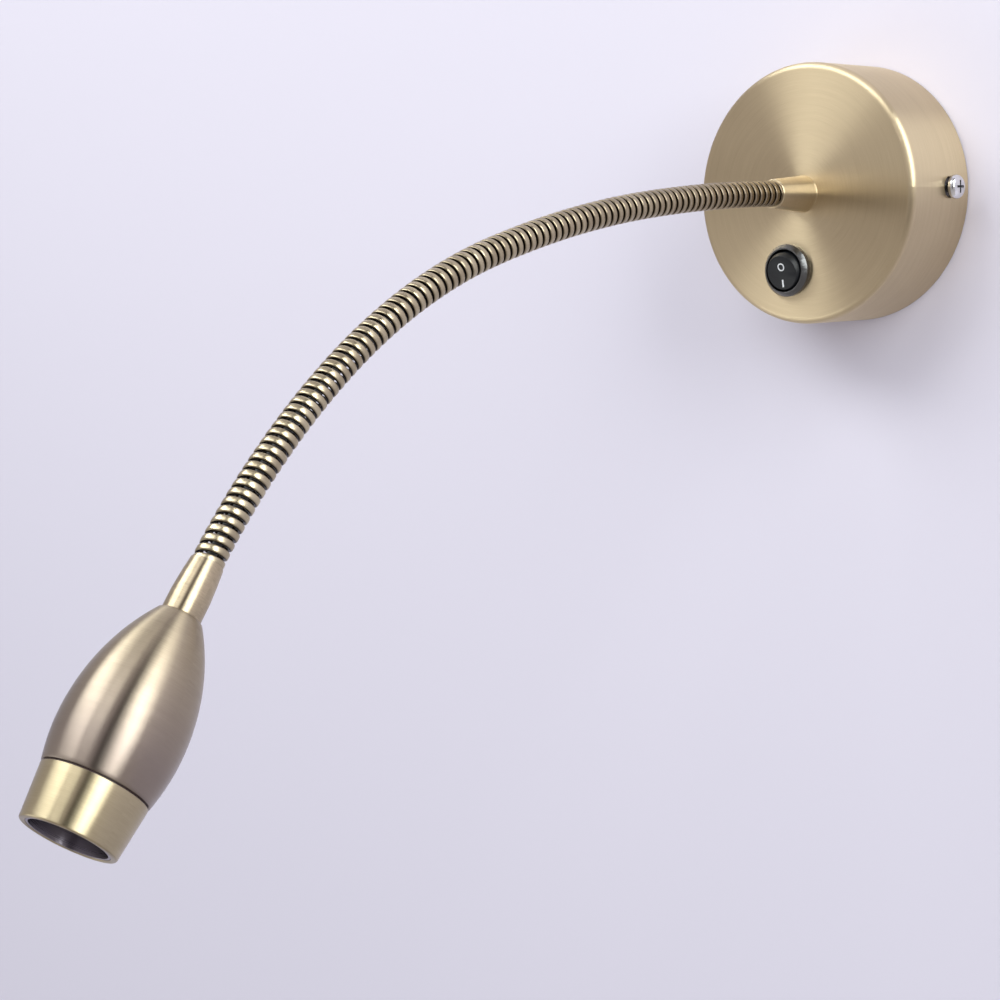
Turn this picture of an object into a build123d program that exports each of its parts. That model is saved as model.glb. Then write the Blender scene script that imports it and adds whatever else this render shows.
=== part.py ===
"""Bedside wall reading lamp: a round wall cup, a bendable hose neck and a bullet-shaped lamp head.

Millimetres. The origin is the middle of the cup's open back, on the wall. +Z is up, the wall is the
plane Y = 0 and the lamp stands out of it along -Y. The neck keeps the bend it has been given: each
link of the hose is stiff, and neighbouring links meet at a ball in a socket.
"""
from build123d import *
import math
import os

# ---- clearances ------------------------------------------------------------------------------
THREAD_FIT = 0.05          # radial, screw or threaded tube in its hole
SEAT_GAP = 0.3             # between pieces that lie close without clamping
PIVOT_FIT = 0.06           # radial, rocker stub in its hole

# ---- wall cup --------------------------------------------------------------------------------
CUP_DIAMETER = 100.0
CUP_DEPTH = 37.7
CUP_WALL = 1.0
CUP_EDGE_RADIUS = 2.6
SIDE_SCREW_OFF_WALL = 12.5
SIDE_HOLE_DIAMETER = 8.2
CUP_INSIDE_RADIUS = CUP_DIAMETER / 2 - CUP_WALL

# ---- wall plate ------------------------------------------------------------------------------
PLATE_THICKNESS = 1.6
PLATE_RIM_GAP = 2.0
PLATE_RADIUS = CUP_INSIDE_RADIUS - PLATE_RIM_GAP
CABLE_HOLE_DIAMETER = 20.0
SLOT_SPACING = 60.0
SLOT_LENGTH = 12.0
SLOT_WIDTH = 5.0
EAR_WIDTH = 14.0
EAR_OVER_SCREW = 5.5

# ---- screws ----------------------------------------------------------------------------------
M4_DIAMETER = 4.0
M3_DIAMETER = 3.0
SIDE_HEAD_DIAMETER = 9.2
SIDE_HEAD_HEIGHT = 2.6
SIDE_HEAD_STANDOFF = 1.8
SIDE_SCREW_LENGTH = 10.0
SMALL_HEAD_DIAMETER = 5.6
SMALL_HEAD_HEIGHT = 2.0
RECESS_WIDTH = 0.9
RECESS_SHARE = 0.52        # of the head's diameter
RECESS_DEPTH_SHARE = 0.55  # of the head's height
HEAD_CROWN_SHARE = 0.75    # of the head's height that is rounded over

# ---- hose neck -------------------------------------------------------------------------------
HOSE_DIAMETER = 9.8
GROOVE_DIAMETER = 8.6
HOSE_BORE = 4.8
RIB_PITCH = 3.25
RIB_WIDTH = 2.45
RIB_EDGE = 0.3
LINK_RIBS = 6              # ribs from one pivot to the next
PIVOT_COUNT = 16
BALL_DIAMETER = 7.0
SOCKET_CLEARANCE = 0.3
LINK_BEVEL = 9.0           # degrees, each side of a pivot
HOSE_TAIL = 6.5            # plain end held inside a ferrule
REST_DROOP = (1.5, 2.4, 5.2, 3.6)    # degrees at each pivot, by quarter of the neck
REST_SWING = (0.0, 0.0, 0.0, 1.2)
LINK_LENGTH = LINK_RIBS * RIB_PITCH
BASE_RIBS = 2              # ribs from the ferrule at the cup to the first pivot
HEAD_RIBS = 3              # ribs from the last pivot to the ferrule at the head

# ---- base ferrule and threaded tube ----------------------------------------------------------
BASE_FERRULE_LENGTH = 19.25
BASE_FERRULE_FOOT = 14.2
BASE_FERRULE_TIP = 11.2
BASE_FERRULE_FLARE = 0.5
BASE_FERRULE_WAIST = 13.9
BASE_FERRULE_LIP = 0.2
BASE_FERRULE_TIP_EDGE = 0.3
TUBE_DIAMETER = 9.8
TUBE_BORE = 5.4
TUBE_OUT = 8.0
TUBE_IN = 9.0
LOCK_WASHER_DIAMETER = 17.0
LOCK_WASHER_THICKNESS = 0.8
TUBE_NUT_FLATS = 14.0
TUBE_NUT_HEIGHT = 3.0

# ---- rocker switch ---------------------------------------------------------------------------
SWITCH_X = -7.2
SWITCH_UP = -29.1
BEZEL_DIAMETER = 20.4
BEZEL_HEIGHT = 3.5
BEZEL_STEP = 1.9
BEZEL_LIP = 0.45
BARREL_DIAMETER = 18.0
BARREL_LENGTH = 14.0
BARREL_FLOOR = 1.6
BARREL_WALL = 0.7
OPENING_DIAMETER = BARREL_DIAMETER - 2 * BARREL_WALL
CATCH_REACH = 0.9
CATCH_WIDTH = 4.0
CATCH_HEIGHT = 3.2
CATCH_ROOT = 0.5
ROCKER_GAP = 0.7           # round the rocker, in its opening
ROCKER_DIAMETER = OPENING_DIAMETER - 2 * ROCKER_GAP
ROCKER_SWEEP_RADIUS = OPENING_DIAMETER / 2 - SEAT_GAP
ROCKER_PIVOT_DROP = 3.1    # pivot below the bezel's top
ROCKER_CROWN = 4.2         # middle of the face above the pivot
ROCKER_BELOW = 3.0
ROCKER_DISH = 3.0          # degrees, each half of the face
ROCKER_TILT = 11.0         # degrees, each side of level
STUB_DIAMETER = 1.8
STUB_REACH = 0.95
MARK_PROUD = 0.12
MARK_RING_OUTER = 3.1
MARK_RING_INNER = 2.2
MARK_RING_UP = 2.2         # of the ring above the middle of the face
MARK_BAR_LENGTH = 2.9
MARK_BAR_WIDTH = 0.65
MARK_BAR_DOWN = 4.2        # of the bar below the middle of the face
CONTACT_WIDTH = 3.0
CONTACT_LENGTH = 9.0
CONTACT_THICKNESS = 0.4
BLADE_WIDTH = 4.8
BLADE_THICKNESS = 0.8
BLADE_TAIL = 7.5
BLADE_SPACING = 7.0
BLADE_STUB = 1.5           # of the upper blade, above the barrel's floor

# ---- driver and terminals --------------------------------------------------------------------
DRIVER_LENGTH = 50.0
DRIVER_WIDTH = 20.0
DRIVER_HEIGHT = 17.0
DRIVER_WALL = 1.4
DRIVER_UP = 26.0           # middle, above the cup's axis
DRIVER_FOOT_LENGTH = 8.0
DRIVER_FOOT_THICKNESS = 2.0
BOARD_THICKNESS = 1.2
BOARD_LIFT = 2.4
COIL_DIAMETER = 10.0
COIL_HEIGHT = 8.0
COIL_BASE = 12.0
COIL_BASE_THICKNESS = 1.0
COIL_X = 2.0
CAPACITOR_DIAMETER = 7.0
CAPACITOR_LENGTH = 11.0
CAPACITOR_X = -12.0
CHIP_SIZE = 6.0
CHIP_HEIGHT = 2.0
CHIP_X = 17.0
PARTS_ABOVE_MIDDLE = 1.0
LID_LIP_DEPTH = 1.0
TERMINAL_X = 24.0
TERMINAL_UP = -20.0
TERMINAL_LENGTH = 26.0
TERMINAL_WIDTH = 14.0
TERMINAL_HEIGHT = 11.0
TERMINAL_POLES = 3
TERMINAL_WIRE_HOLE = 3.6
TERMINAL_WIRE_RISE = 4.95  # of the wire holes above the plate
TERMINAL_WIRE_INSERT = 1.0
TERMINAL_SCREW_DEPTH = 3.0
TERMINAL_SCREW_SUNK = 0.5
TERMINAL_GROOVE_WIDTH = 1.2
TERMINAL_GROOVE_DEPTH = 1.5
SLOT_RECESS_WIDTH = 0.6
SLOT_RECESS_DEPTH = 0.6
LONG_SCREW_HEAD = 4.0
EARTH_X = -34.0
EARTH_UP = -15.0
EARTH_HEAD_DIAMETER = 8.0
EARTH_HEAD_HEIGHT = 2.4
EARTH_LUG_THICKNESS = 0.8
EARTH_LUG_DIAMETER = 9.0
EARTH_TAIL_LENGTH = 9.0
EARTH_TAIL_WIDTH = 3.2
EARTH_CRIMP_LENGTH = 3.0

# ---- leads -----------------------------------------------------------------------------------
WIRE_DIAMETER = 1.8
NECK_LEAD_DIAMETER = 3.0
ARC_SHARE = 0.45           # of the shorter of the two runs at a corner

# ---- head, measured along its axis from the end of the hose -----------------------------------
FERRULE_TOP_DIAMETER = 10.3
FERRULE_NECK_DIAMETER = 11.3
FERRULE_NECK_AT = 5.0
FERRULE_DIAMETER = 12.1
FERRULE_FULL_AT = 11.0
FERRULE_SPIGOT_DIAMETER = 8.0
SHELL_START = 17.6
SHELL_START_DIAMETER = 13.4
SHELL_SHOULDER = 0.7
SHELL_NOSE = 6.6           # solid nose behind the cavity
SHELL_WIDEST_AT = 55.5
SHELL_DIAMETER = 36.7
SHELL_END = 71.2
SHELL_END_DIAMETER = 32.7
SHELL_WALL = 1.5
COLLAR_LENGTH = 13.0
COLLAR_BORE = 29.8
HEAD_NUT_FLATS = 12.0
HEAD_NUT_HEIGHT = 3.0
JOINT_GAP = 0.6
JOINT_RING_DEPTH = 0.5     # how far the dark ring lies under the surface
RING_TOP_DIAMETER = 32.4
MOUTH_AT = 87.9
MOUTH_DIAMETER = 29.3
MOUTH_BORE = 25.6
RIM_EDGE = 0.35
RING_SPIGOT_LENGTH = 9.0
TUNNEL_WALL = 0.8
TUNNEL_RECESS = 0.15
SINK_DISC = 3.0
SINK_LENGTH = 21.0
SINK_CORE_DIAMETER = 13.0
SINK_FIN_COUNT = 12
SINK_FIN_THICKNESS = 1.1
SINK_FIN_DIAMETER = 24.0
SINK_BORE = 4.6
SINK_HOLE_MARGIN = 1.0
SPIGOT_OVER_NUT = 1.0
LED_TO_LENS = 0.2
LENS_EDGE = 1.3
LENS_SUNK = 0.2
LEAD_HOLE_DIAMETER = 1.6
LEAD_HOLE_SPACING = 8.4
LEAD_HOLE_DROP = 6.0
LED_BOARD_DIAMETER = 20.0
LED_BOARD_THICKNESS = 1.4
LED_BODY_SIZE = 3.5
LED_BODY_HEIGHT = 0.8
LED_DOME_DIAMETER = 2.6
BOARD_SCREW_CIRCLE = 16.4
BOARD_SCREW_DIAMETER = 2.0
BOARD_SCREW_HEAD = 3.4
BOARD_SCREW_HEAD_HEIGHT = 1.2
BOARD_SCREW_LENGTH = 4.0
LENS_DIAMETER = 20.0
LENS_BACK_DIAMETER = 9.0
LENS_LENGTH = 9.5
LENS_WELL_DIAMETER = 5.0
LENS_WELL_DEPTH = 3.6
HOLDER_WALL = 1.0
HOLDER_FLANGE = 1.4

# ---- frames ----------------------------------------------------------------------------------
# Pieces in the cup are drawn with X to the right, Y up and Z out of the wall.
FRONT = Plane(origin=(0, 0, 0), x_dir=(1, 0, 0), z_dir=(0, -1, 0))


def hose_axes(droop, swing):
    """Unit vectors along the hose and up from it, for a droop and a sideways swing in degrees."""
    fall = math.radians(droop)
    turn = math.radians(swing)
    along = Vector(math.cos(fall) * math.sin(turn), -math.cos(fall) * math.cos(turn), -math.sin(fall))
    across = Vector(math.cos(turn), math.sin(turn), 0)
    return along, along.cross(across)


def neck_planes():
    """One plane per link, X along the hose: its origin is the pivot at the link's wall end."""
    droop = 0.0
    swing = 0.0
    along, up = hose_axes(droop, swing)
    point = Vector(0, -(CUP_DEPTH + BASE_FERRULE_LENGTH), 0)
    planes = [Plane(origin=point, x_dir=along, z_dir=up)]
    point = point + along * (BASE_RIBS * RIB_PITCH)
    for pivot in range(PIVOT_COUNT):
        quarter = pivot * len(REST_DROOP) // PIVOT_COUNT
        droop += REST_DROOP[quarter]
        swing += REST_SWING[quarter]
        along, up = hose_axes(droop, swing)
        planes.append(Plane(origin=point, x_dir=along, z_dir=up))
        point = point + along * LINK_LENGTH
    return planes


NECK = neck_planes()
HEAD_START = NECK[-1].origin + NECK[-1].x_dir * (HEAD_RIBS * RIB_PITCH)
HEAD = Plane(origin=HEAD_START, x_dir=NECK[-1].x_dir, z_dir=NECK[-1].z_dir)


# ---- drawing helpers -------------------------------------------------------------------------
def block(x0, x1, y0, y1, z0, z1):
    """A box between two corners."""
    size = Box(x1 - x0, y1 - y0, z1 - z0, align=(Align.MIN, Align.MIN, Align.MIN))
    return Pos(x0, y0, z0) * size


def post(x, y, z0, z1, diameter):
    """A round bar along Z."""
    bar = Cylinder(diameter / 2, z1 - z0, align=(Align.CENTER, Align.CENTER, Align.MIN))
    return Pos(x, y, z0) * bar


def bar_x(x0, x1, diameter):
    """A round bar along X, on the axis."""
    bar = Cylinder(diameter / 2, x1 - x0, align=(Align.CENTER, Align.CENTER, Align.MIN))
    return Pos(x0, 0, 0) * Rot(0, 90, 0) * bar


def turned(*stations):
    """A piece turned about the X axis from (position, radius) corners."""
    return revolve(make_face(Polyline(*stations, close=True)), Axis.X)


def hexagon(x0, x1, flats, bore):
    """A hexagon nut on the X axis."""
    outline = Plane.YZ.offset(x0) * RegularPolygon(flats / 2, 6, major_radius=False)
    return extrude(outline, x1 - x0) - bar_x(x0, x1, bore)


def group(*shapes):
    """Separate solids kept as one sub-part."""
    return Compound([solid for shape in shapes for solid in shape.solids()])


def screw(head_diameter, head_height, shank_diameter, length):
    """A cross-recessed screw: head above Z = 0, shank below."""
    head = post(0, 0, 0, head_height, head_diameter)
    head = fillet(head.edges().sort_by(Axis.Z)[-1], head_height * HEAD_CROWN_SHARE)
    arm = head_diameter * RECESS_SHARE / 2
    half = RECESS_WIDTH / 2
    floor = head_height * (1 - RECESS_DEPTH_SHARE)
    head -= block(-arm, arm, -half, half, floor, head_height)
    head -= block(-half, half, -arm, arm, floor, head_height)
    return head + post(0, 0, -length, 0, shank_diameter)


def lead(name, points, diameter):
    """A round lead along straight runs joined by the widest arcs that the runs allow."""
    corners = [Vector(*point) for point in points]
    radii = []
    for before, corner, after in zip(corners, corners[1:], corners[2:]):
        half_turn = math.radians((corner - before).get_angle(after - corner)) / 2
        shorter = min((corner - before).length, (after - corner).length)
        radii.append(ARC_SHARE * shorter / math.tan(half_turn))
    path = FilletPolyline(*corners, radius=radii)
    start = Plane(origin=path @ 0, z_dir=path % 0)
    tube = sweep(start * Circle(diameter / 2), path=path)
    share = tube.volume / (math.pi * diameter ** 2 / 4 * path.length)
    print(f"{name}: length {path.length:.1f}, least radius {min(radii):.1f}, volume share {share:.4f}")
    return tube


# ---- cup and wall plate ----------------------------------------------------------------------
CUP_FACE = CUP_DEPTH
CUP_FACE_INSIDE = CUP_DEPTH - CUP_WALL


def cup():
    body = post(0, 0, 0, CUP_DEPTH, CUP_DIAMETER)
    body = fillet(body.edges().sort_by(Axis.Z)[-1], CUP_EDGE_RADIUS)
    cavity = post(0, 0, 0, CUP_FACE_INSIDE, 2 * CUP_INSIDE_RADIUS)
    cavity = fillet(cavity.edges().sort_by(Axis.Z)[-1], CUP_EDGE_RADIUS - CUP_WALL)
    body -= cavity
    body -= post(0, 0, 0, CUP_DEPTH, TUBE_DIAMETER + 2 * THREAD_FIT)
    body -= post(SWITCH_X, SWITCH_UP, 0, CUP_DEPTH, BARREL_DIAMETER + 2 * SEAT_GAP)
    for side in (1, -1):
        middle = side * CUP_DIAMETER / 2
        hole = bar_x(middle - 2 * CUP_WALL, middle + 2 * CUP_WALL, SIDE_HOLE_DIAMETER)
        body -= Pos(0, 0, SIDE_SCREW_OFF_WALL) * hole
    return body


EAR_OUTER_RADIUS = CUP_INSIDE_RADIUS - SEAT_GAP
DRIVER_FOOT_X = DRIVER_LENGTH / 2 + DRIVER_FOOT_LENGTH / 2


def wall_plate():
    plate = post(0, 0, 0, PLATE_THICKNESS, 2 * PLATE_RADIUS)
    ear_top = SIDE_SCREW_OFF_WALL + EAR_OVER_SCREW
    half = EAR_WIDTH / 2
    reach = CUP_DIAMETER / 2
    inner = PLATE_RADIUS - PLATE_THICKNESS
    for side in (1, -1):
        near, far = sorted((side * inner, side * reach))
        foot, tip = sorted((side * (inner - EAR_WIDTH), side * reach))
        ear = block(near, far, -half, half, 0, ear_top)
        ear += block(foot, tip, -half, half, 0, PLATE_THICKNESS)
        plate += ear & post(0, 0, 0, ear_top, 2 * EAR_OUTER_RADIUS)
    hollow = 2 * (EAR_OUTER_RADIUS - PLATE_THICKNESS)
    plate -= post(0, 0, PLATE_THICKNESS, ear_top, hollow)
    tapped = M4_DIAMETER + 2 * THREAD_FIT
    plate -= Pos(0, 0, SIDE_SCREW_OFF_WALL) * bar_x(-reach, reach, tapped)
    plate -= post(0, 0, 0, PLATE_THICKNESS, CABLE_HOLE_DIAMETER)
    for side in (1, -1):
        slot = extrude(SlotOverall(SLOT_LENGTH, SLOT_WIDTH), PLATE_THICKNESS)
        plate -= Pos(side * SLOT_SPACING / 2, 0, 0) * slot
        plate -= post(side * DRIVER_FOOT_X, DRIVER_UP, 0, PLATE_THICKNESS, M3_DIAMETER + 2 * THREAD_FIT)
    plate -= post(TERMINAL_X, TERMINAL_UP, 0, PLATE_THICKNESS, M3_DIAMETER + 2 * THREAD_FIT)
    plate -= post(EARTH_X, EARTH_UP, 0, PLATE_THICKNESS, tapped)
    return plate


def side_screws():
    one = screw(SIDE_HEAD_DIAMETER, SIDE_HEAD_HEIGHT, M4_DIAMETER, SIDE_SCREW_LENGTH)
    out = CUP_DIAMETER / 2 + SIDE_HEAD_STANDOFF
    right = Pos(out, 0, SIDE_SCREW_OFF_WALL) * Rot(0, 90, 0) * one
    left = Pos(-out, 0, SIDE_SCREW_OFF_WALL) * Rot(0, -90, 0) * one
    return group(right, left)


# ---- driver, terminals and earth -------------------------------------------------------------
DRIVER_TOP = PLATE_THICKNESS + DRIVER_HEIGHT
DRIVER_LOW = DRIVER_UP - DRIVER_WIDTH / 2
DRIVER_HIGH = DRIVER_UP + DRIVER_WIDTH / 2
BOARD_UNDER = PLATE_THICKNESS + DRIVER_WALL + BOARD_LIFT
BOARD_TOP = BOARD_UNDER + BOARD_THICKNESS
LID_UNDER = DRIVER_TOP - DRIVER_WALL
FOOT_TOP = PLATE_THICKNESS + DRIVER_FOOT_THICKNESS
INNER_X = DRIVER_LENGTH / 2 - DRIVER_WALL
OUTPUT_HOLE_X = 12.0
INPUT_HOLE_X = -16.0
INPUT_SPACING = 5.0
WIRE_HOLE = WIRE_DIAMETER + 2 * SEAT_GAP
TERMINAL_WIRE_OUT = PLATE_THICKNESS + TERMINAL_WIRE_RISE
TERMINAL_PITCH = TERMINAL_LENGTH / TERMINAL_POLES


def driver_case():
    half = DRIVER_LENGTH / 2
    body = block(-half, half, DRIVER_LOW, DRIVER_HIGH, PLATE_THICKNESS, LID_UNDER)
    feet = half + DRIVER_FOOT_LENGTH
    foot_half = DRIVER_FOOT_LENGTH / 2
    body += block(-feet, feet, DRIVER_UP - foot_half, DRIVER_UP + foot_half, PLATE_THICKNESS, FOOT_TOP)
    floor = PLATE_THICKNESS + DRIVER_WALL
    low = DRIVER_LOW + DRIVER_WALL
    high = DRIVER_HIGH - DRIVER_WALL
    ledge = DRIVER_WALL
    body -= block(-INNER_X + ledge, INNER_X - ledge, low, high, floor, LID_UNDER)
    body -= block(-INNER_X, INNER_X, low, high, BOARD_UNDER, LID_UNDER)
    for side in (1, -1):
        body -= post(side * DRIVER_FOOT_X, DRIVER_UP, PLATE_THICKNESS, FOOT_TOP, M3_DIAMETER + 2 * THREAD_FIT)
    output = NECK_LEAD_DIAMETER + 2 * SEAT_GAP
    holes = ((OUTPUT_HOLE_X, output), (INPUT_HOLE_X, WIRE_HOLE), (INPUT_HOLE_X + INPUT_SPACING, WIRE_HOLE))
    for x, size in holes:
        bore = Rot(90, 0, 0) * Cylinder(size / 2, 3 * DRIVER_WALL)
        body -= Pos(x, DRIVER_LOW, LID_UNDER - size) * bore
    return body


def driver_lid():
    """Lid with a locating lip on three sides; the fourth is left free for the leads."""
    half = DRIVER_LENGTH / 2
    lid = block(-half, half, DRIVER_LOW, DRIVER_HIGH, LID_UNDER, DRIVER_TOP)
    lip = DRIVER_WALL + SEAT_GAP
    low = LID_UNDER - LID_LIP_DEPTH
    inner = block(-half + lip, half - lip, DRIVER_LOW + lip, DRIVER_HIGH - lip, low, LID_UNDER)
    inner -= block(-half + 2 * lip, half - 2 * lip, DRIVER_LOW + 2 * lip, DRIVER_HIGH - 2 * lip,
                   low, LID_UNDER)
    inner -= block(-half, half, DRIVER_LOW, DRIVER_LOW + 2 * lip, low, LID_UNDER)
    return lid + inner


def driver_board():
    slack = SEAT_GAP
    return block(-INNER_X + slack, INNER_X - slack, DRIVER_LOW + DRIVER_WALL + slack,
                 DRIVER_HIGH - DRIVER_WALL - slack, BOARD_UNDER, BOARD_TOP)


def driver_parts():
    """Coil on its square base, capacitor lying down and switching chip."""
    up = DRIVER_UP + PARTS_ABOVE_MIDDLE
    base = COIL_BASE / 2
    coil = post(COIL_X, up, BOARD_TOP, BOARD_TOP + COIL_HEIGHT, COIL_DIAMETER)
    coil += block(COIL_X - base, COIL_X + base, up - base, up + base,
                  BOARD_TOP, BOARD_TOP + COIL_BASE_THICKNESS)
    can_z = BOARD_TOP + CAPACITOR_DIAMETER / 2
    can = Pos(CAPACITOR_X, up, can_z) * Rot(0, 90, 0) * Cylinder(CAPACITOR_DIAMETER / 2, CAPACITOR_LENGTH)
    half = CHIP_SIZE / 2
    chip = block(CHIP_X - half, CHIP_X + half, up - half, up + half, BOARD_TOP, BOARD_TOP + CHIP_HEIGHT)
    return group(coil, can, chip)


def terminal_block():
    half = TERMINAL_LENGTH / 2
    deep = TERMINAL_WIDTH / 2
    top = PLATE_THICKNESS + TERMINAL_HEIGHT
    tapped = M3_DIAMETER + 2 * THREAD_FIT
    groove = TERMINAL_GROOVE_WIDTH / 2
    body = block(TERMINAL_X - half, TERMINAL_X + half, TERMINAL_UP - deep, TERMINAL_UP + deep,
                 PLATE_THICKNESS, top)
    for pole in range(TERMINAL_POLES):
        x = TERMINAL_X + (pole - (TERMINAL_POLES - 1) / 2) * TERMINAL_PITCH
        bore = Rot(90, 0, 0) * Cylinder(TERMINAL_WIRE_HOLE / 2, TERMINAL_WIDTH / 3)
        for side in (1, -1):
            body -= Pos(x, TERMINAL_UP + side * deep, TERMINAL_WIRE_OUT) * bore
            body -= post(x, TERMINAL_UP + side * deep / 2, top - TERMINAL_SCREW_DEPTH, top, tapped)
    for side in (1, -1):
        x = TERMINAL_X + side * TERMINAL_PITCH / 2
        body -= block(x - groove, x + groove, TERMINAL_UP - deep, TERMINAL_UP + deep,
                      top - TERMINAL_GROOVE_DEPTH, top)
    return body - post(TERMINAL_X, TERMINAL_UP, PLATE_THICKNESS, top, tapped)


def terminal_screws():
    """Slotted grub screws, two for each pole."""
    top = PLATE_THICKNESS + TERMINAL_HEIGHT
    screw_top = top - TERMINAL_SCREW_SUNK
    half = SLOT_RECESS_WIDTH / 2
    screws = []
    for pole in range(TERMINAL_POLES):
        x = TERMINAL_X + (pole - (TERMINAL_POLES - 1) / 2) * TERMINAL_PITCH
        for side in (1, -1):
            y = TERMINAL_UP + side * TERMINAL_WIDTH / 4
            one = post(x, y, top - TERMINAL_SCREW_DEPTH, screw_top, M3_DIAMETER)
            one -= block(x - M3_DIAMETER, x + M3_DIAMETER, y - half, y + half,
                         screw_top - SLOT_RECESS_DEPTH, top)
            screws.append(one)
    return group(*screws)


def plate_screws():
    """Two screws through the driver's feet and a longer one through the terminal block."""
    length = PLATE_THICKNESS + DRIVER_FOOT_THICKNESS
    foot = screw(SMALL_HEAD_DIAMETER, SMALL_HEAD_HEIGHT, M3_DIAMETER, length)
    long_one = screw(LONG_SCREW_HEAD, SMALL_HEAD_HEIGHT, M3_DIAMETER, PLATE_THICKNESS + TERMINAL_HEIGHT)
    placed = [Pos(side * DRIVER_FOOT_X, DRIVER_UP, FOOT_TOP) * foot for side in (1, -1)]
    placed.append(Pos(TERMINAL_X, TERMINAL_UP, PLATE_THICKNESS + TERMINAL_HEIGHT) * long_one)
    return group(*placed)


LUG_TOP = PLATE_THICKNESS + EARTH_LUG_THICKNESS
CRIMP_TOP = LUG_TOP + EARTH_LUG_THICKNESS


def earth_lug():
    half = EARTH_TAIL_WIDTH / 2
    end = EARTH_UP - EARTH_TAIL_LENGTH
    crimp = end + EARTH_CRIMP_LENGTH
    lug = post(EARTH_X, EARTH_UP, PLATE_THICKNESS, LUG_TOP, EARTH_LUG_DIAMETER)
    lug += block(EARTH_X - half, EARTH_X + half, end, EARTH_UP, PLATE_THICKNESS, LUG_TOP)
    lug += block(EARTH_X - half, EARTH_X + half, end, crimp, PLATE_THICKNESS, CRIMP_TOP)
    return lug - post(EARTH_X, EARTH_UP, PLATE_THICKNESS, LUG_TOP, M4_DIAMETER + 2 * THREAD_FIT)


def earth_screw():
    one = screw(EARTH_HEAD_DIAMETER, EARTH_HEAD_HEIGHT, M4_DIAMETER, PLATE_THICKNESS + EARTH_LUG_THICKNESS)
    return Pos(EARTH_X, EARTH_UP, LUG_TOP) * one


# ---- switch ----------------------------------------------------------------------------------
BEZEL_TOP = CUP_FACE + BEZEL_HEIGHT
PIVOT_OUT = BEZEL_TOP - ROCKER_PIVOT_DROP
BARREL_END = CUP_FACE - BARREL_LENGTH
FLOOR_TOP = BARREL_END + BARREL_FLOOR


def switch_body():
    """Bezel and barrel, one moulding, drawn round its own axis."""
    rim = OPENING_DIAMETER / 2 + BEZEL_LIP
    profile = Plane.XZ * make_face(Polyline(
        (0, BARREL_END), (BARREL_DIAMETER / 2, BARREL_END), (BARREL_DIAMETER / 2, CUP_FACE),
        (BEZEL_DIAMETER / 2, CUP_FACE), (BEZEL_DIAMETER / 2, CUP_FACE + BEZEL_STEP),
        (rim, BEZEL_TOP), (0, BEZEL_TOP), close=True))
    body = revolve(profile, Axis.Z)
    body -= post(0, 0, FLOOR_TOP, BEZEL_TOP, OPENING_DIAMETER)
    hole = bar_x(-OPENING_DIAMETER / 2 - STUB_REACH, OPENING_DIAMETER / 2 + STUB_REACH,
                 STUB_DIAMETER + 2 * PIVOT_FIT)
    body -= Pos(0, 0, PIVOT_OUT) * hole
    catch_top = CUP_FACE_INSIDE - SEAT_GAP
    for side in (1, -1):
        root = side * (BARREL_DIAMETER / 2 - CATCH_ROOT)
        tip = side * (BARREL_DIAMETER / 2 + CATCH_REACH)
        near, far = sorted((root, tip))
        body += block(near, far, -CATCH_WIDTH / 2, CATCH_WIDTH / 2, catch_top - CATCH_HEIGHT, catch_top)
    for side in (1, -1):
        y = side * BLADE_SPACING / 2
        half = BLADE_WIDTH / 2
        body -= block(-half, half, y - BLADE_THICKNESS / 2, y + BLADE_THICKNESS / 2, BARREL_END, FLOOR_TOP)
    return Pos(SWITCH_X, SWITCH_UP, 0) * body


def switch_terminals():
    """Two flat blades through the barrel's floor, with a bent contact end inside."""
    blades = []
    contact_under = contact_low_edge() - SEAT_GAP
    for side in (1, -1):
        y = side * BLADE_SPACING / 2
        half = BLADE_WIDTH / 2
        top = contact_under if side < 0 else FLOOR_TOP + BLADE_STUB
        blades.append(block(-half, half, y - BLADE_THICKNESS / 2, y + BLADE_THICKNESS / 2,
                            BARREL_END - BLADE_TAIL, top))
    return Pos(SWITCH_X, SWITCH_UP, 0) * group(*blades)


def tilt(shape):
    """Turns a piece drawn level about the rocker's pivot into its switched-on place."""
    return Pos(SWITCH_X, SWITCH_UP, PIVOT_OUT) * Rot(ROCKER_TILT, 0, 0) * shape


def contact_low_edge():
    """Lowest point of the tilted contact strip, out of the wall, at the lower blade."""
    reach = BLADE_SPACING / 2 + BLADE_THICKNESS / 2
    depth = ROCKER_BELOW + CONTACT_THICKNESS
    angle = math.radians(ROCKER_TILT)
    return PIVOT_OUT - depth / math.cos(angle) - reach * math.tan(angle)


def rocker():
    """Drawn level round its pivot, its rounded flanks centred there; its face is a shallow V."""
    body = post(0, 0, -ROCKER_BELOW, ROCKER_CROWN + 2, ROCKER_DIAMETER)
    body &= Sphere(ROCKER_SWEEP_RADIUS)
    for side in (1, -1):
        cutter = block(-ROCKER_DIAMETER, ROCKER_DIAMETER, 0, ROCKER_DIAMETER, 0, ROCKER_DIAMETER)
        cutter = Rot(ROCKER_DISH, 0, 0) * cutter
        if side < 0:
            cutter = Rot(0, 0, 180) * cutter
        body -= Pos(0, 0, ROCKER_CROWN) * cutter
    reach = OPENING_DIAMETER / 2 + STUB_REACH - SEAT_GAP
    body += bar_x(-reach, reach, STUB_DIAMETER)
    return tilt(body)


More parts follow.
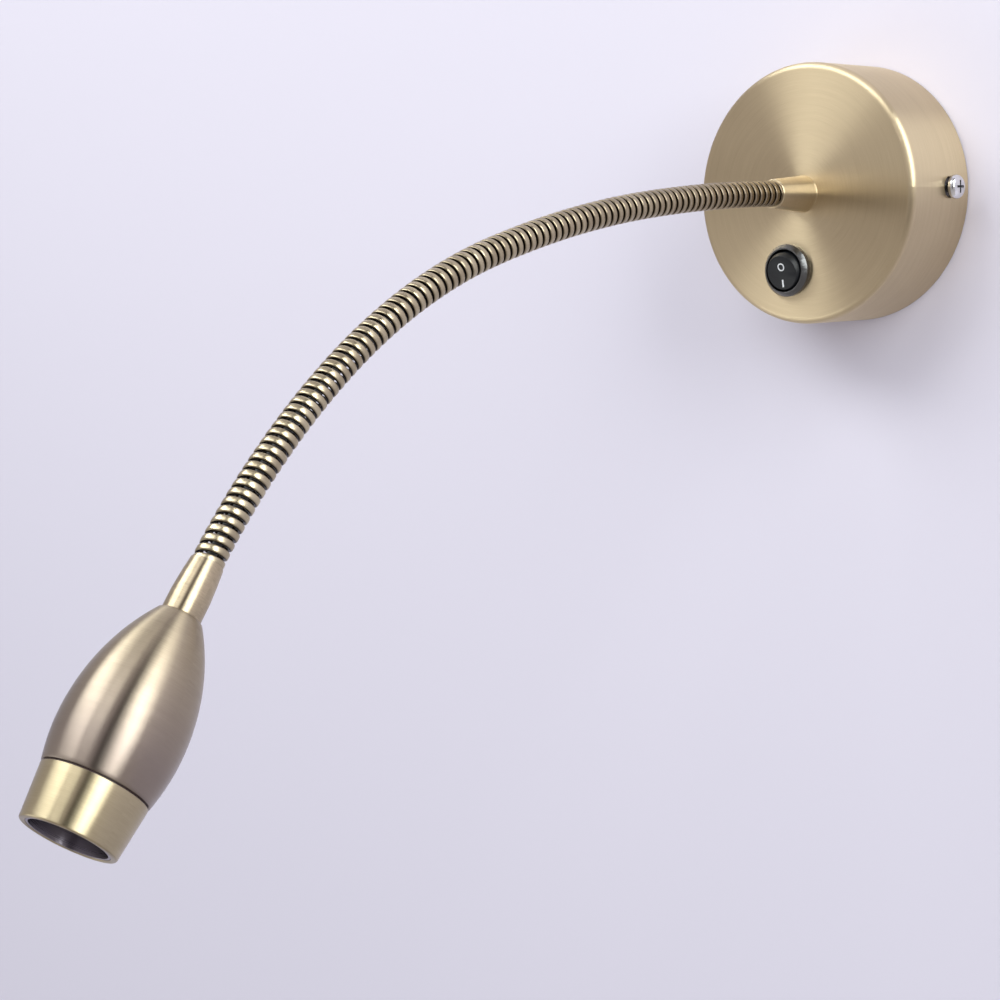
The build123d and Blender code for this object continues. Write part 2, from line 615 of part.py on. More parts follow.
def rocker_marks():
    """The ring and bar of an off / on switch, as thin pads on the two halves of the face."""
    ring = Cylinder(MARK_RING_OUTER / 2, MARK_PROUD) - Cylinder(MARK_RING_INNER / 2, MARK_PROUD)
    bar = Box(MARK_BAR_WIDTH, MARK_BAR_LENGTH, MARK_PROUD)
    lift = MARK_PROUD / 2
    crown = Pos(0, 0, ROCKER_CROWN)
    upper = crown * Rot(ROCKER_DISH, 0, 0) * Pos(0, MARK_RING_UP, lift) * ring
    lower = crown * Rot(-ROCKER_DISH, 0, 0) * Pos(0, -MARK_BAR_DOWN, lift) * bar
    return group(tilt(upper), tilt(lower))


def rocker_contact():
    half = CONTACT_LENGTH / 2
    strip = block(-CONTACT_WIDTH / 2, CONTACT_WIDTH / 2, -half, half,
                  -ROCKER_BELOW - CONTACT_THICKNESS, -ROCKER_BELOW)
    return tilt(strip)


# ---- ferrule, threaded tube, nut and washer at the cup ----------------------------------------
# These are drawn along X, with X = 0 at the cup's outer face.
FACE = Plane(origin=(0, -CUP_DEPTH, 0), x_dir=(0, -1, 0), z_dir=(0, 0, 1))
TUBE_HOLE = TUBE_DIAMETER + 2 * THREAD_FIT
TAIL_HOLE = GROOVE_DIAMETER + 2 * THREAD_FIT


def base_ferrule():
    foot = BASE_FERRULE_FOOT / 2
    tip = BASE_FERRULE_TIP / 2
    edge = BASE_FERRULE_TIP_EDGE
    waist = BASE_FERRULE_WAIST / 2
    length = BASE_FERRULE_LENGTH
    body = turned((0, 0), (0, foot), (BASE_FERRULE_LIP, foot), (BASE_FERRULE_FLARE, waist),
                  (length - edge, tip), (length, tip - edge), (length, 0))
    body -= bar_x(0, BASE_FERRULE_LENGTH, TUBE_BORE)
    body -= bar_x(0, TUBE_OUT + SEAT_GAP, TUBE_HOLE)
    return body - bar_x(BASE_FERRULE_LENGTH - HOSE_TAIL - SEAT_GAP, BASE_FERRULE_LENGTH, TAIL_HOLE)


def threaded_tube():
    ends = bar_x(-CUP_WALL - TUBE_IN, TUBE_OUT, TUBE_DIAMETER)
    return ends - bar_x(-CUP_WALL - TUBE_IN, TUBE_OUT, TUBE_BORE)


def lock_washer():
    face = -CUP_WALL
    washer = bar_x(face - LOCK_WASHER_THICKNESS, face, LOCK_WASHER_DIAMETER)
    return washer - bar_x(face - LOCK_WASHER_THICKNESS, face, TUBE_HOLE)


def tube_nut():
    top = -CUP_WALL - LOCK_WASHER_THICKNESS
    return hexagon(top - TUBE_NUT_HEIGHT, top, TUBE_NUT_FLATS, TUBE_HOLE)


# ---- hose links ------------------------------------------------------------------------------
def ribbed(first, ribs):
    """The ribbed outside of the hose from one groove's middle, as one ruled loft along X."""
    circles = []
    gap = (RIB_PITCH - RIB_WIDTH) / 2
    for rib in range(ribs):
        start = first + rib * RIB_PITCH + gap
        for offset, size in ((0, GROOVE_DIAMETER), (RIB_EDGE, HOSE_DIAMETER),
                             (RIB_WIDTH - RIB_EDGE, HOSE_DIAMETER), (RIB_WIDTH, GROOVE_DIAMETER)):
            circles.append(Plane.YZ.offset(start + offset) * Circle(size / 2))
    hose = loft(circles, ruled=True)
    end = first + ribs * RIB_PITCH
    return hose + bar_x(first, first + gap, GROOVE_DIAMETER) + bar_x(end - gap, end, GROOVE_DIAMETER)


def bevel(x, outward):
    """What is cut off a link's end so that its neighbour can bend: a flat cone at the pivot."""
    radius = HOSE_DIAMETER
    run = radius * math.tan(math.radians(LINK_BEVEL))
    return turned((x, 0), (x + outward * run, radius), (x - outward * run, radius), (x - outward * run, 0))


def neck_link(number):
    first = number == 0
    last = number == PIVOT_COUNT
    ribs = BASE_RIBS if first else HEAD_RIBS if last else LINK_RIBS
    length = ribs * RIB_PITCH
    body = ribbed(0, ribs)
    if first:
        body += bar_x(-HOSE_TAIL, 0, GROOVE_DIAMETER)
    else:
        body -= bevel(0, 1)
        body += Sphere(BALL_DIAMETER / 2)
    if last:
        body += bar_x(length, length + HOSE_TAIL, GROOVE_DIAMETER)
    else:
        body -= bevel(length, -1)
        body -= Pos(length, 0, 0) * Sphere(BALL_DIAMETER / 2 + SOCKET_CLEARANCE)
    body -= bar_x(-LINK_LENGTH, length + LINK_LENGTH, HOSE_BORE)
    return NECK[number].location * body


# ---- head ------------------------------------------------------------------------------------
SHELL_CAVITY = SHELL_START + SHELL_NOSE
COLLAR_START = SHELL_END - COLLAR_LENGTH
SPIGOT_END = SHELL_CAVITY + HEAD_NUT_HEIGHT + SPIGOT_OVER_NUT
RING_START = SHELL_END + JOINT_GAP
RING_SPIGOT_START = RING_START - RING_SPIGOT_LENGTH
SINK_FRONT = RING_SPIGOT_START
SINK_BACK = SINK_FRONT - SINK_LENGTH
BOARD_FRONT = SINK_FRONT + LED_BOARD_THICKNESS
LED_FRONT = BOARD_FRONT + LED_BODY_HEIGHT
LENS_BACK = LED_FRONT + LED_TO_LENS
LENS_FRONT = LENS_BACK + LENS_LENGTH
TUNNEL_FRONT = MOUTH_AT - TUNNEL_RECESS
TUNNEL_DIAMETER = MOUTH_BORE - 2 * THREAD_FIT
HOLDER_DIAMETER = LENS_DIAMETER + 2 * HOLDER_WALL + 2 * THREAD_FIT


def arc_radius(run, drop):
    """Radius of an arc that leaves an axis-parallel tangent and drops by this much over the run."""
    return (run ** 2 + drop ** 2) / (2 * drop)


def arc_height(widest, radius, x):
    """Height of that arc above the axis at x."""
    return widest - radius + math.sqrt(radius ** 2 - (x - SHELL_WIDEST_AT) ** 2)


REAR_RADIUS = arc_radius(SHELL_WIDEST_AT - SHELL_START, (SHELL_DIAMETER - SHELL_START_DIAMETER) / 2)
FRONT_RADIUS = arc_radius(SHELL_END - SHELL_WIDEST_AT, (SHELL_DIAMETER - SHELL_END_DIAMETER) / 2)


def bullet(start, end, inset):
    """The bullet shape between two stations, its outline moved inwards by inset."""
    widest = SHELL_DIAMETER / 2 - inset
    rear = REAR_RADIUS - inset
    front = FRONT_RADIUS - inset
    ends = [(x, arc_height(widest, radius, x)) for x, radius in ((start, rear), (end, front))]
    middles = [((start + SHELL_WIDEST_AT) / 2, rear), ((end + SHELL_WIDEST_AT) / 2, front)]
    middles = [(x, arc_height(widest, radius, x)) for x, radius in middles]
    top = (SHELL_WIDEST_AT, widest)
    outline = ThreePointArc(ends[0], middles[0], top) + ThreePointArc(top, middles[1], ends[1])
    outline += Polyline(ends[1], (end, 0), (start, 0), ends[0])
    return revolve(make_face(outline), Axis.X)


def head_ferrule():
    full = FERRULE_DIAMETER / 2
    spigot = FERRULE_SPIGOT_DIAMETER / 2
    body = turned((0, 0), (0, FERRULE_TOP_DIAMETER / 2), (FERRULE_NECK_AT, FERRULE_NECK_DIAMETER / 2),
                  (FERRULE_FULL_AT, full), (SHELL_START, full), (SHELL_START, spigot), (SPIGOT_END, spigot),
                  (SPIGOT_END, 0))
    return body - bar_x(0, HOSE_TAIL + SEAT_GAP, TAIL_HOLE) - bar_x(0, SPIGOT_END, HOSE_BORE)


def head_shell():
    body = bullet(SHELL_START, SHELL_END, 0)
    body = fillet(body.edges().sort_by(Axis.X)[0], SHELL_SHOULDER)
    body -= bullet(SHELL_CAVITY, COLLAR_START, SHELL_WALL)
    body -= bar_x(COLLAR_START, SHELL_END, COLLAR_BORE)
    return body - bar_x(SHELL_START, SHELL_CAVITY, FERRULE_SPIGOT_DIAMETER + 2 * THREAD_FIT)


def head_nut():
    bore = FERRULE_SPIGOT_DIAMETER + 2 * THREAD_FIT
    return hexagon(SHELL_CAVITY, SHELL_CAVITY + HEAD_NUT_HEIGHT, HEAD_NUT_FLATS, bore)


def joint_ring():
    """The dark ring in the joint between shell and front ring."""
    outer = min(SHELL_END_DIAMETER, RING_TOP_DIAMETER) - 2 * JOINT_RING_DEPTH
    inner = COLLAR_BORE + 2 * THREAD_FIT
    return bar_x(SHELL_END, RING_START, outer) - bar_x(SHELL_END, RING_START, inner)


def front_ring():
    top = RING_TOP_DIAMETER / 2
    mouth = MOUTH_DIAMETER / 2
    spigot = COLLAR_BORE / 2 - THREAD_FIT
    body = turned((RING_SPIGOT_START, 0), (RING_SPIGOT_START, spigot), (RING_START, spigot),
                  (RING_START, top), (MOUTH_AT - RIM_EDGE, mouth), (MOUTH_AT, mouth - RIM_EDGE),
                  (MOUTH_AT, 0))
    return body - bar_x(RING_SPIGOT_START, MOUTH_AT, MOUTH_BORE)


def glare_tunnel():
    """Dark sleeve that lines the mouth, from the lens to just inside the rim."""
    sleeve = bar_x(LENS_FRONT, TUNNEL_FRONT, TUNNEL_DIAMETER)
    return sleeve - bar_x(LENS_FRONT, TUNNEL_FRONT, TUNNEL_DIAMETER - 2 * TUNNEL_WALL)


def lens_holder():
    """Black cup that centres the lens, with a flange that the sleeve presses on the rim of."""
    cup_body = bar_x(BOARD_FRONT, LENS_FRONT, HOLDER_DIAMETER)
    cup_body += bar_x(LENS_FRONT - HOLDER_FLANGE, LENS_FRONT, TUNNEL_DIAMETER)
    cup_body -= bar_x(BOARD_FRONT, LENS_FRONT, LENS_DIAMETER + 2 * THREAD_FIT)
    return cup_body


def lens():
    back = LENS_BACK_DIAMETER / 2
    full = LENS_DIAMETER / 2
    front = LENS_FRONT - LENS_SUNK
    body = turned((LENS_BACK, 0), (LENS_BACK, back), (front - LENS_EDGE, full), (front, full), (front, 0))
    return body - bar_x(LENS_BACK, LENS_BACK + LENS_WELL_DEPTH, LENS_WELL_DIAMETER)


def screw_points():
    """Where the two board screws stand, across the LED board."""
    return [(0, side * BOARD_SCREW_CIRCLE / 2) for side in (1, -1)]


def led_board():
    body = bar_x(SINK_FRONT, BOARD_FRONT, LED_BOARD_DIAMETER)
    for y, z in screw_points():
        body -= Pos(0, y, z) * bar_x(SINK_FRONT, BOARD_FRONT, BOARD_SCREW_DIAMETER + 2 * THREAD_FIT)
    for side in (1, -1):
        middle = Pos(0, side * LEAD_HOLE_SPACING / 2, -LEAD_HOLE_DROP)
        body -= middle * bar_x(SINK_FRONT, BOARD_FRONT, LEAD_HOLE_DIAMETER)
    return body


def led_chip():
    half = LED_BODY_SIZE / 2
    body = block(BOARD_FRONT, LED_FRONT, -half, half, -half, half)
    dome = Pos(LED_FRONT, 0, 0) * Sphere(LED_DOME_DIAMETER / 2)
    keep = block(LED_FRONT, LED_FRONT + LED_DOME_DIAMETER, -half, half, -half, half)
    return body + (dome & keep)


def board_screws():
    one = screw(BOARD_SCREW_HEAD, BOARD_SCREW_HEAD_HEIGHT, BOARD_SCREW_DIAMETER, BOARD_SCREW_LENGTH)
    return group(*[Pos(BOARD_FRONT, y, z) * Rot(0, 90, 0) * one for y, z in screw_points()])


def heat_sink():
    disc = bar_x(SINK_FRONT - SINK_DISC, SINK_FRONT, COLLAR_BORE - 2 * THREAD_FIT)
    core = bar_x(SINK_BACK, SINK_FRONT, SINK_CORE_DIAMETER)
    body = disc + core
    half = SINK_FIN_THICKNESS / 2
    fins_end = SINK_FRONT - SINK_DISC
    for fin in range(SINK_FIN_COUNT):
        blade = block(SINK_BACK, fins_end, SINK_CORE_DIAMETER / 4, SINK_FIN_DIAMETER / 2, -half, half)
        body += Rot(fin * 360 / SINK_FIN_COUNT, 0, 0) * blade
    body -= bar_x(SINK_BACK, SINK_FRONT, SINK_BORE)
    for y, z in screw_points():
        body -= Pos(0, y, z) * bar_x(BOARD_FRONT - BOARD_SCREW_LENGTH - SINK_HOLE_MARGIN, SINK_FRONT,
                                     BOARD_SCREW_DIAMETER + 2 * THREAD_FIT)
    return body


# ---- leads -----------------------------------------------------------------------------------
def front_point(x, up, out):
    """A point in the cup, from right, up and out-of-wall distances."""
    return (x, -out, up)


def neck_lead():
    """From the driver through the threaded tube, the neck and the head to the LED board's back."""
    exit_out = LID_UNDER - (NECK_LEAD_DIAMETER + 2 * SEAT_GAP)
    points = [front_point(OUTPUT_HOLE_X, DRIVER_LOW + DRIVER_WALL, exit_out),
              front_point(11.9, 12.2, 13.8),
              front_point(9.9, 7.4, 16.2),
              front_point(5.2, 3.2, 20.6),
              front_point(1.0, 0.6, 25.0),
              front_point(0, 0, 31.0)]
    points += [tuple(plane.origin) for plane in NECK[1:]]
    along = NECK[-1].x_dir
    points.append(tuple(HEAD.origin + along * (SPIGOT_END - 6)))
    points.append(tuple(HEAD.origin + along * (SINK_BACK - 3) + HEAD.z_dir * 0.4))
    points.append(tuple(HEAD.origin + along * (SINK_FRONT - SEAT_GAP)))
    return lead("neck_lead", points, NECK_LEAD_DIAMETER)


TERMINAL_NEAR = TERMINAL_UP + TERMINAL_WIDTH / 2
TERMINAL_FAR = TERMINAL_UP - TERMINAL_WIDTH / 2
BLADE_END = BARREL_END - BLADE_TAIL
SOLDER = 0.4               # wire end clear of the blade that it is soldered to


def live_wire():
    """Terminal to the switch's lower blade."""
    terminal_up = TERMINAL_FAR + TERMINAL_WIRE_INSERT
    points = [front_point(TERMINAL_X - TERMINAL_PITCH, terminal_up, TERMINAL_WIRE_OUT),
              front_point(15.4, -31.5, 6.7),
              front_point(11.5, -37.2, 7.0),
              front_point(4.5, -40.0, 7.6),
              front_point(-2.5, -39.3, 9.2),
              front_point(-6.6, -36.0, 12.2),
              front_point(SWITCH_X, SWITCH_UP - BLADE_SPACING / 2, BLADE_END - SOLDER)]
    return lead("live_wire", points, WIRE_DIAMETER)


def switched_wire():
    """The switch's upper blade to the driver."""
    points = [front_point(SWITCH_X, SWITCH_UP + BLADE_SPACING / 2, BLADE_END - SOLDER),
              front_point(-7.6, -23.2, 12.0),
              front_point(-9.8, -18.4, 8.8),
              front_point(-13.5, -11.5, 8.0),
              front_point(-16.5, -3.5, 9.0),
              front_point(-17.4, 5.0, 11.6),
              front_point(-16.6, 12.0, 13.8),
              front_point(INPUT_HOLE_X, DRIVER_LOW + DRIVER_WALL, LID_UNDER - WIRE_HOLE)]
    return lead("switched_wire", points, WIRE_DIAMETER)


def neutral_wire():
    """Terminal to the driver, under the neck lead."""
    points = [front_point(TERMINAL_X, TERMINAL_NEAR - TERMINAL_WIRE_INSERT, TERMINAL_WIRE_OUT),
              front_point(24.3, -7.6, 7.0),
              front_point(22.4, -0.2, 8.0),
              front_point(16.8, 5.4, 9.2),
              front_point(9.2, 7.9, 10.6),
              front_point(1.6, 8.2, 12.5),
              front_point(-4.6, 8.7, 14.1),
              front_point(-8.7, 10.5, 14.75),
              front_point(-10.7, 13.6, 14.85),
              front_point(INPUT_HOLE_X + INPUT_SPACING, DRIVER_LOW + DRIVER_WALL, LID_UNDER - WIRE_HOLE)]
    return lead("neutral_wire", points, WIRE_DIAMETER)


def rim_point(angle, inset, out):
    """A point beside the cup's side wall, from its angle in degrees and its distance from the wall."""
    radius = CUP_INSIDE_RADIUS - inset
    turn = math.radians(angle)
    return front_point(radius * math.cos(turn), radius * math.sin(turn), out)


def earth_wire():
    """Terminal, round the foot of the plate, to the earth lug."""
    lug_out = CRIMP_TOP + SEAT_GAP + WIRE_DIAMETER / 2
    crimp_up = EARTH_UP - EARTH_TAIL_LENGTH + EARTH_CRIMP_LENGTH / 2
    terminal_up = TERMINAL_FAR + TERMINAL_WIRE_INSERT
    points = [front_point(TERMINAL_X + TERMINAL_PITCH, terminal_up, TERMINAL_WIRE_OUT),
              rim_point(-43.9, 3.7, 6.1),
              rim_point(-53.2, 2.4, 5.2),
              rim_point(-68.0, 3.7, 4.7),
              rim_point(-87.4, 5.1, 4.5),
              rim_point(-107.4, 5.4, 4.4),
              rim_point(-124.8, 5.2, 4.35),
              rim_point(-137.3, 5.5, 4.3),
              front_point(EARTH_X, crimp_up, lug_out)]
    return lead("earth_wire", points, WIRE_DIAMETER)


# ---- all pieces ------------------------------------------------------------------------------
def build():
    in_cup = {"wall_plate": wall_plate(), "wall_cup": cup(), "side_screws": side_screws(),
              "driver_case": driver_case(), "driver_lid": driver_lid(), "driver_board": driver_board(),
              "driver_parts": driver_parts(), "terminal_block": terminal_block(),
              "terminal_screws": terminal_screws(), "plate_screws": plate_screws(),
              "earth_lug": earth_lug(), "earth_screw": earth_screw(), "switch_body": switch_body(),
              "switch_terminals": switch_terminals(), "rocker": rocker(), "rocker_marks": rocker_marks(),
              "rocker_contact": rocker_contact()}
    on_face = {"base_ferrule": base_ferrule(), "threaded_tube": threaded_tube(),
               "lock_washer": lock_washer(), "tube_nut": tube_nut()}
    in_head = {"head_ferrule": head_ferrule(), "head_shell": head_shell(), "head_nut": head_nut(),
               "joint_ring": joint_ring(), "front_ring": front_ring(), "glare_tunnel": glare_tunnel(),
               "lens_holder": lens_holder(), "lens": lens(), "led_board": led_board(),
               "led_chip": led_chip(), "board_screws": board_screws(), "heat_sink": heat_sink()}
    pieces = {name: FRONT.location * shape for name, shape in in_cup.items()}
    pieces.update({name: FACE.location * shape for name, shape in on_face.items()})
    pieces.update({name: HEAD.location * shape for name, shape in in_head.items()})
    for number in range(PIVOT_COUNT + 1):
        pieces[f"neck_link_{number:02d}"] = neck_link(number)
    pieces["neck_lead"] = neck_lead()
    for wire in (live_wire, switched_wire, neutral_wire, earth_wire):
        pieces[wire.__name__] = wire()
    return pieces


os.makedirs("parts", exist_ok=True)
for node, shape in build().items():
    export_step(shape, f"parts/{node}.step")
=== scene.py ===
"""Bedside wall reading lamp: the dressed lamp on the packed frame, with its stage.

Metres, in the frame's own coordinates: the wall is the plane Y = 0, the lamp stands out along -Y and
Z is up. Sizes noted as millimetres are turned into metres with MM.
"""
import bmesh
import bpy
import math
from mathutils import Matrix, Vector
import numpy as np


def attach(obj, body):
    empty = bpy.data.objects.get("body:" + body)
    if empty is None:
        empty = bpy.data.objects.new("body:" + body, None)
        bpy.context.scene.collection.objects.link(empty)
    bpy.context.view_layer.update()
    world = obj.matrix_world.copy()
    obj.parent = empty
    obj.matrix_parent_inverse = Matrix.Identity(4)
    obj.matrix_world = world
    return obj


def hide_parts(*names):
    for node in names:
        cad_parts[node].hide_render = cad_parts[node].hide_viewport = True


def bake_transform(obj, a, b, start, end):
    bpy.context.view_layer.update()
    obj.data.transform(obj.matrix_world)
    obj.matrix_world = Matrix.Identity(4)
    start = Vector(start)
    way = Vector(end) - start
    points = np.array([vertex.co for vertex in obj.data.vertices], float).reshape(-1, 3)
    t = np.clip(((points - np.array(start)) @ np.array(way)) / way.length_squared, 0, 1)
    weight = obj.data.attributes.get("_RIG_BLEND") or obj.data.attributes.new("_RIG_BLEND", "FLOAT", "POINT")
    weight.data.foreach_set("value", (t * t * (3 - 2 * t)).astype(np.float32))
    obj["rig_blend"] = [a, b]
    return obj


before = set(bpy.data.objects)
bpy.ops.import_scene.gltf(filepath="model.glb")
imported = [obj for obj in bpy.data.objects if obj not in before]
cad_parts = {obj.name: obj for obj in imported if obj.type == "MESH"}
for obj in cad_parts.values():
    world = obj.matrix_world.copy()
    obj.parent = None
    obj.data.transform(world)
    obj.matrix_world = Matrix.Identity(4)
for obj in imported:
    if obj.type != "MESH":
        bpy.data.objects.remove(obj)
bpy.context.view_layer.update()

bl_info = {
    "name": "Bedside wall reading lamp",
    "version": (1, 0, 0),
    "blender": (4, 5, 0),
    "location": "View3D > Sidebar > Reading lamp",
    "description": "Dresses the packed reading lamp: wound hose, turned brass, switch, leads and stage",
    "category": "Object",
}

MM = 0.001

# ---- the lamp's fixed lines, as the frame has them (millimetres) --------------------------------
CUP_DEPTH = 37.7
BASE_FERRULE_LENGTH = 19.25
RIB_PITCH = 3.25
LINK_RIBS = 6
BASE_RIBS = 2
HEAD_RIBS = 3
PIVOT_COUNT = 16
HOSE_SPARE = 2             # pitches that the centreline runs on at each end
BLEND_REACH = 8.1          # from a pivot to where its bend ends, on each side
SHELL_START = 17.6
SHELL_END = 71.2
RING_START = 71.8
MOUTH_AT = 87.9
RIM_ROUND = 0.3
SLEEVE_RECESS = 0.15
LEAD_RADIUS = 1.5
WIRE_RADIUS = 0.9
REST_DROOP = (1.5, 2.4, 5.2, 3.6)
REST_SWING = (0.0, 0.0, 0.0, 1.2)
LINK_LENGTH = LINK_RIBS * RIB_PITCH
BODIES = ["base"] + [f"link_{number:02d}" for number in range(1, PIVOT_COUNT)] + ["head"]


def hose_axes(droop, swing):
    """Unit vectors along the hose and up from it, for a droop and a sideways swing in degrees."""
    fall = math.radians(droop)
    turn = math.radians(swing)
    along = Vector((math.cos(fall) * math.sin(turn), -math.cos(fall) * math.cos(turn), -math.sin(fall)))
    across = Vector((math.cos(turn), math.sin(turn), 0.0))
    return along, along.cross(across)


def neck_points():
    """The hose's start, its pivots and its end in millimetres, and the head's three axes."""
    droop = 0.0
    swing = 0.0
    along, up = hose_axes(droop, swing)
    point = Vector((0.0, -(CUP_DEPTH + BASE_FERRULE_LENGTH), 0.0))
    points = [point]
    point = point + along * (BASE_RIBS * RIB_PITCH)
    for pivot in range(PIVOT_COUNT):
        quarter = pivot * len(REST_DROOP) // PIVOT_COUNT
        droop += REST_DROOP[quarter]
        swing += REST_SWING[quarter]
        along, up = hose_axes(droop, swing)
        points.append(point)
        point = point + along * LINK_LENGTH
    points.append(points[-1] + along * (HEAD_RIBS * RIB_PITCH))
    return points, along, up


NECK_POINTS, HEAD_ALONG, HEAD_UP = neck_points()
HEAD_START = NECK_POINTS[-1]
HEAD_SIDE = HEAD_UP.cross(HEAD_ALONG)


def head_point(x, y, z):
    """A point of the head's own frame, in metres."""
    return (HEAD_START + HEAD_ALONG * x + HEAD_SIDE * y + HEAD_UP * z) * MM


def front_point(x, up, out):
    """A point in the cup from right, up and out-of-wall millimetres, in metres."""
    return Vector((x, -out, up)) * MM


def head_route(*places):
    return [head_point(*place) for place in places]


def front_route(*places):
    return [front_point(*place) for place in places]


# ---- node helpers -------------------------------------------------------------------------------
class Nodes:
    """Adds and joins the nodes of one tree."""

    def __init__(self, tree):
        self.tree = tree

    def put(self, socket, value):
        if isinstance(value, bpy.types.NodeSocket):
            self.tree.links.new(value, socket)
        elif value is not None:
            socket.default_value = value

    def add(self, kind, inputs=None, **settings):
        node = self.tree.nodes.new(kind)
        for name, value in settings.items():
            setattr(node, name, value)
        for key, value in (inputs or {}).items():
            self.put(node.inputs[key], value)
        return node

    def calc(self, operation, first, second=None):
        return self.add("ShaderNodeMath", {0: first, 1: second}, operation=operation).outputs[0]

    def vector(self, operation, first, second=None, scale=None):
        node = self.add("ShaderNodeVectorMath", {0: first, 1: second}, operation=operation)
        if scale is not None:
            self.put(node.inputs["Scale"], scale)
        return node.outputs["Value" if operation in ("LENGTH", "DOT_PRODUCT") else "Vector"]

    def split(self, value):
        node = self.add("ShaderNodeSeparateXYZ", {0: value})
        return node.outputs[0], node.outputs[1], node.outputs[2]

    def join(self, x, y, z):
        return self.add("ShaderNodeCombineXYZ", {0: x, 1: y, 2: z}).outputs[0]


class Finish(Nodes):
    """One material with its shader's uniform values set on the shader itself."""

    def __init__(self, name, **values):
        self.material = bpy.data.materials.new(name)
        self.material.use_nodes = True
        super().__init__(self.material.node_tree)
        self.shader = self.tree.nodes["Principled BSDF"]
        for name, value in values.items():
            self.shader.inputs[name.replace("_", " ")].default_value = value

    def object_place(self):
        return self.add("ShaderNodeTexCoord").outputs["Object"]

    def noise(self, place, scale, detail=3.0, roughness=0.55):
        node = self.add("ShaderNodeTexNoise", {"Vector": place, "Scale": scale, "Detail": detail,
                                               "Roughness": roughness})
        return node.outputs[0]

    def spread(self, value, low, high, to_low, to_high):
        node = self.add("ShaderNodeMapRange", {"Value": value, "From Min": low, "From Max": high,
                                               "To Min": to_low, "To Max": to_high})
        return node.outputs[0]

    def blend(self, share, first, second):
        node = self.add("ShaderNodeMix", data_type="RGBA")
        for socket, value in ((0, share), (6, first), (7, second)):
            self.put(node.inputs[socket], value)
        return node.outputs[2]

    def relief(self, height, distance, strength=1.0):
        node = self.add("ShaderNodeBump", {"Height": height, "Distance": distance, "Strength": strength})
        return node.outputs[0]

    def set(self, **links):
        for name, value in links.items():
            self.put(self.shader.inputs[name.replace("_", " ")], value)
        return self.material


# ---- finishes -----------------------------------------------------------------------------------
def turned_lines(finish, course, around, fine, coarse):
    """Streaks of a turned or brushed surface: course runs across the lines, around goes with them."""
    thin = finish.noise(finish.join(finish.calc("MULTIPLY", course, fine),
                                    finish.calc("MULTIPLY", around, 2.0), 0.0), 1.0, 4.0, 0.7)
    broad = finish.noise(finish.join(finish.calc("MULTIPLY", course, coarse),
                                     finish.calc("MULTIPLY", around, 1.1), 3.7), 1.0, 2.0, 0.5)
    return thin, broad


def brass_nodes(finish, course, around, place, pale, deep, settings, painted_reflection=None):
    """Colour, roughness and relief of satin brass over its turned lines; painted_reflection is (share,
    colour), a painted reflection of the grey room laid over the brass.
    """
    thin, broad = turned_lines(finish, course, around, settings.fine_lines, settings.coarse_lines)
    cloud = finish.noise(place, 28.0, 3.0, 0.5)
    tone = finish.calc("ADD", finish.calc("MULTIPLY", thin, 0.72), finish.calc("MULTIPLY", broad, 0.28))
    tone = finish.calc("ADD", finish.calc("MULTIPLY", tone, 0.7), finish.calc("MULTIPLY", cloud, 0.3))
    share = finish.spread(tone, 0.28, 0.72, 0.0, 1.0)
    colour = finish.blend(share, (*deep, 1.0), (*pale, 1.0))
    # Painted reflection: a greyer colour that stands in for the grey room reflected in the metal.
    if painted_reflection is not None:
        colour = finish.blend(painted_reflection[0], colour, (*painted_reflection[1], 1.0))
    rough = finish.spread(tone, 0.3, 0.7, settings.roughness + 0.04, settings.roughness - 0.04)
    bump = finish.relief(thin, settings.line_depth, 0.35)
    return finish.set(Base_Color=colour, Roughness=rough, Normal=bump)


def cup_brass(settings):
    """Brass brushed in rings round the cup's axis."""
    finish = Finish("cup_brass", Metallic=1.0, Anisotropic=settings.anisotropy, Anisotropic_Rotation=0.25)
    place = finish.object_place()
    x, y, z = finish.split(place)
    radius = finish.vector("LENGTH", finish.join(x, 0.0, z))
    course = finish.calc("SUBTRACT", radius, y)
    around = finish.calc("ARCTAN2", z, x)
    tangent = finish.add("ShaderNodeTangent", direction_type="RADIAL", axis="Y").outputs[0]
    finish.set(Tangent=tangent)
    return brass_nodes(finish, course, around, place, settings.cup_colour, settings.cup_shade, settings)


def turned_brass(name, pale, deep, settings, painted_reflection=None):
    """Brass turned on the lathe: the UV map goes round in U and along the outline in V.

    A greyer colour, a painted reflection of the grey room, takes over towards the front of the head.
    """
    finish = Finish(name, Metallic=1.0, Anisotropic=settings.anisotropy, Anisotropic_Rotation=0.25)
    uv = finish.add("ShaderNodeUVMap", uv_map="turned").outputs[0]
    u, v, _ = finish.split(uv)
    around = finish.calc("MULTIPLY", u, 2 * math.pi)
    finish.set(Tangent=finish.add("ShaderNodeTangent", direction_type="UV_MAP", uv_map="turned").outputs[0])
    place = finish.object_place()
    # Painted reflection: the shell turns greyer towards the front, standing in for the grey room it reflects.
    if painted_reflection is not None:
        station = finish.vector("DOT_PRODUCT", place, tuple(HEAD_ALONG))
        begin = HEAD_START.dot(HEAD_ALONG) * MM
        painted_reflection = (finish.spread(station, begin + 30.0 * MM, begin + 62.0 * MM, 0.0, 0.85), painted_reflection)
    return brass_nodes(finish, v, around, place, pale, deep, settings, painted_reflection)


